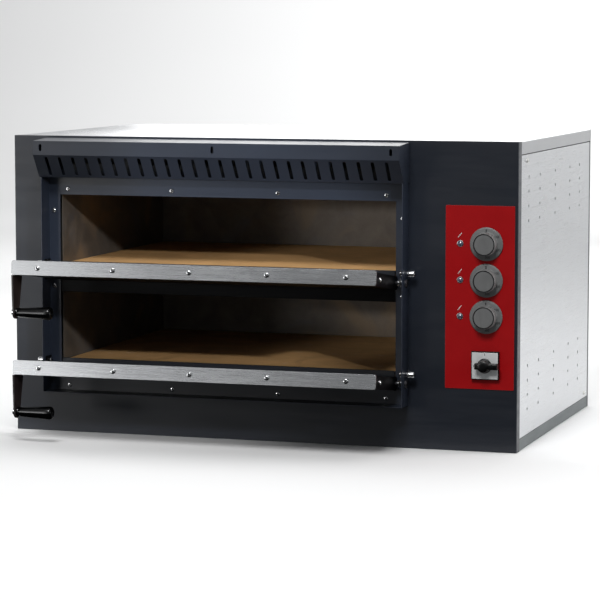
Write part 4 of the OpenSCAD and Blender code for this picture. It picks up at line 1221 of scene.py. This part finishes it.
def chamber_spot(name, at, towards, power, angle):
    """A narrow soft light into the chambers that leaves no highlight of its own."""
    data = bpy.data.lights.new(name, "SPOT")
    data.energy = power
    data.spot_size = math.radians(angle)
    data.spot_blend = 0.6
    data.shadow_soft_size = 0.06
    lamp = hang(name, data, at, towards)
    lamp.visible_glossy = False
    return lamp


class OVEN_OT_stage(Operator):
    """Camera, pale floor and soft studio light"""

    bl_idname = "oven.stage"
    bl_label = "Stage"

    def execute(self, context):
        scene = context.scene
        data = bpy.data.cameras.new("Camera")
        data.sensor_width = 36
        data.lens = 158.97
        data.clip_start, data.clip_end = 0.05, 60
        camera = bpy.data.objects.new("Camera", data)
        scene.collection.objects.link(camera)
        camera.location = (1.4628, -4.6117, 0.7152)
        camera.rotation_euler = (math.radians(90 - 5.8794), 0, math.radians(17.8366))
        scene.camera = camera

        put_down()
        bpy.ops.mesh.primitive_plane_add(size=1, location=(0, 0, 0))
        floor = context.object
        floor.name = "Floor"
        floor.scale = (16, 16, 1)
        bpy.ops.object.transform_apply(location=True, rotation=False, scale=True)
        open_mesh(floor, "EDGE")
        shape = bmesh.from_edit_mesh(floor.data)
        for e in shape.edges:
            e.select_set(all(v.co.y > 7 for v in e.verts))
        bmesh.update_edit_mesh(floor.data)
        bpy.ops.mesh.extrude_region_move(TRANSFORM_OT_translate={"value": (0, 0, 9)})
        put_down()
        smooth(round_edges(floor, 3.0, 12, 60), 60)
        pale = Finish("pale floor", (0.90, 0.90, 0.90), 0.75)
        drift = pale.grain(1.4, detail=2)
        pale.colour(pale.blend(pale.levels(drift, 0.3, 0.7), (0.89, 0.89, 0.89), (0.91, 0.91, 0.91)))
        floor.data.materials.append(pale.done())
        floor.visible_diffuse = False  # no bounce from the floor, so that the front keeps its depth
        dark_cloth()

        world = bpy.data.worlds.new("Studio")
        world.use_nodes = True
        world.node_tree.nodes["Background"].inputs[0].default_value = (0.96, 0.98, 1.0, 1)
        world.node_tree.nodes["Background"].inputs[1].default_value = 0.2
        scene.world = world
        scene.view_settings.view_transform = "Standard"

        for row in CARDS:
            card(soft_light(*row))
        for row in SPOTS:
            chamber_spot(*row)
        for row in LIGHTS:
            soft_light(*row)
        return {"FINISHED"}


# ---- Add-on ----


class VIEW3D_PT_pizza_oven(Panel):
    """Lists the steps of the build and the sizes and colours they use"""

    bl_label = "Pizza Oven"
    bl_idname = "VIEW3D_PT_pizza_oven"
    bl_space_type = "VIEW_3D"
    bl_region_type = "UI"
    bl_category = "Pizza Oven"

    def draw(self, context):
        layout = self.layout
        for group in (context.scene.oven_colours, context.scene.oven_sizes):
            box = layout.box()
            for key in group.bl_rna.properties.keys():
                if key not in {"rna_type", "name"}:
                    box.prop(group, key)
        column = layout.column(align=True)
        for step in STEPS:
            column.operator(step.bl_idname)


STEPS = (
    OVEN_OT_stage,
    OVEN_OT_casing,
    OVEN_OT_chambers,
    OVEN_OT_deck_stones,
    OVEN_OT_door_finishes,
    OVEN_OT_door_grips,
    OVEN_OT_door_screws,
    OVEN_OT_hinge_bolts,
    OVEN_OT_casing_screws,
    OVEN_OT_thermostat_knobs,
    OVEN_OT_pilot_lamps,
    OVEN_OT_main_switch,
    OVEN_OT_cable_gland,
)

CLASSES = (PizzaOvenColours, PizzaOvenSizes, *STEPS, VIEW3D_PT_pizza_oven)


def register():
    for made in CLASSES:
        bpy.utils.register_class(made)
    bpy.types.Scene.oven_colours = PointerProperty(type=PizzaOvenColours)
    bpy.types.Scene.oven_sizes = PointerProperty(type=PizzaOvenSizes)


def unregister():
    del bpy.types.Scene.oven_sizes
    del bpy.types.Scene.oven_colours
    for made in reversed(CLASSES):
        bpy.utils.unregister_class(made)


def main():
    """Builds the whole oven."""
    register()
    for step in STEPS:
        group, name = step.bl_idname.split(".")
        getattr(getattr(bpy.ops, group), name)()
    put_down()


if __name__ == "__main__":
    main()
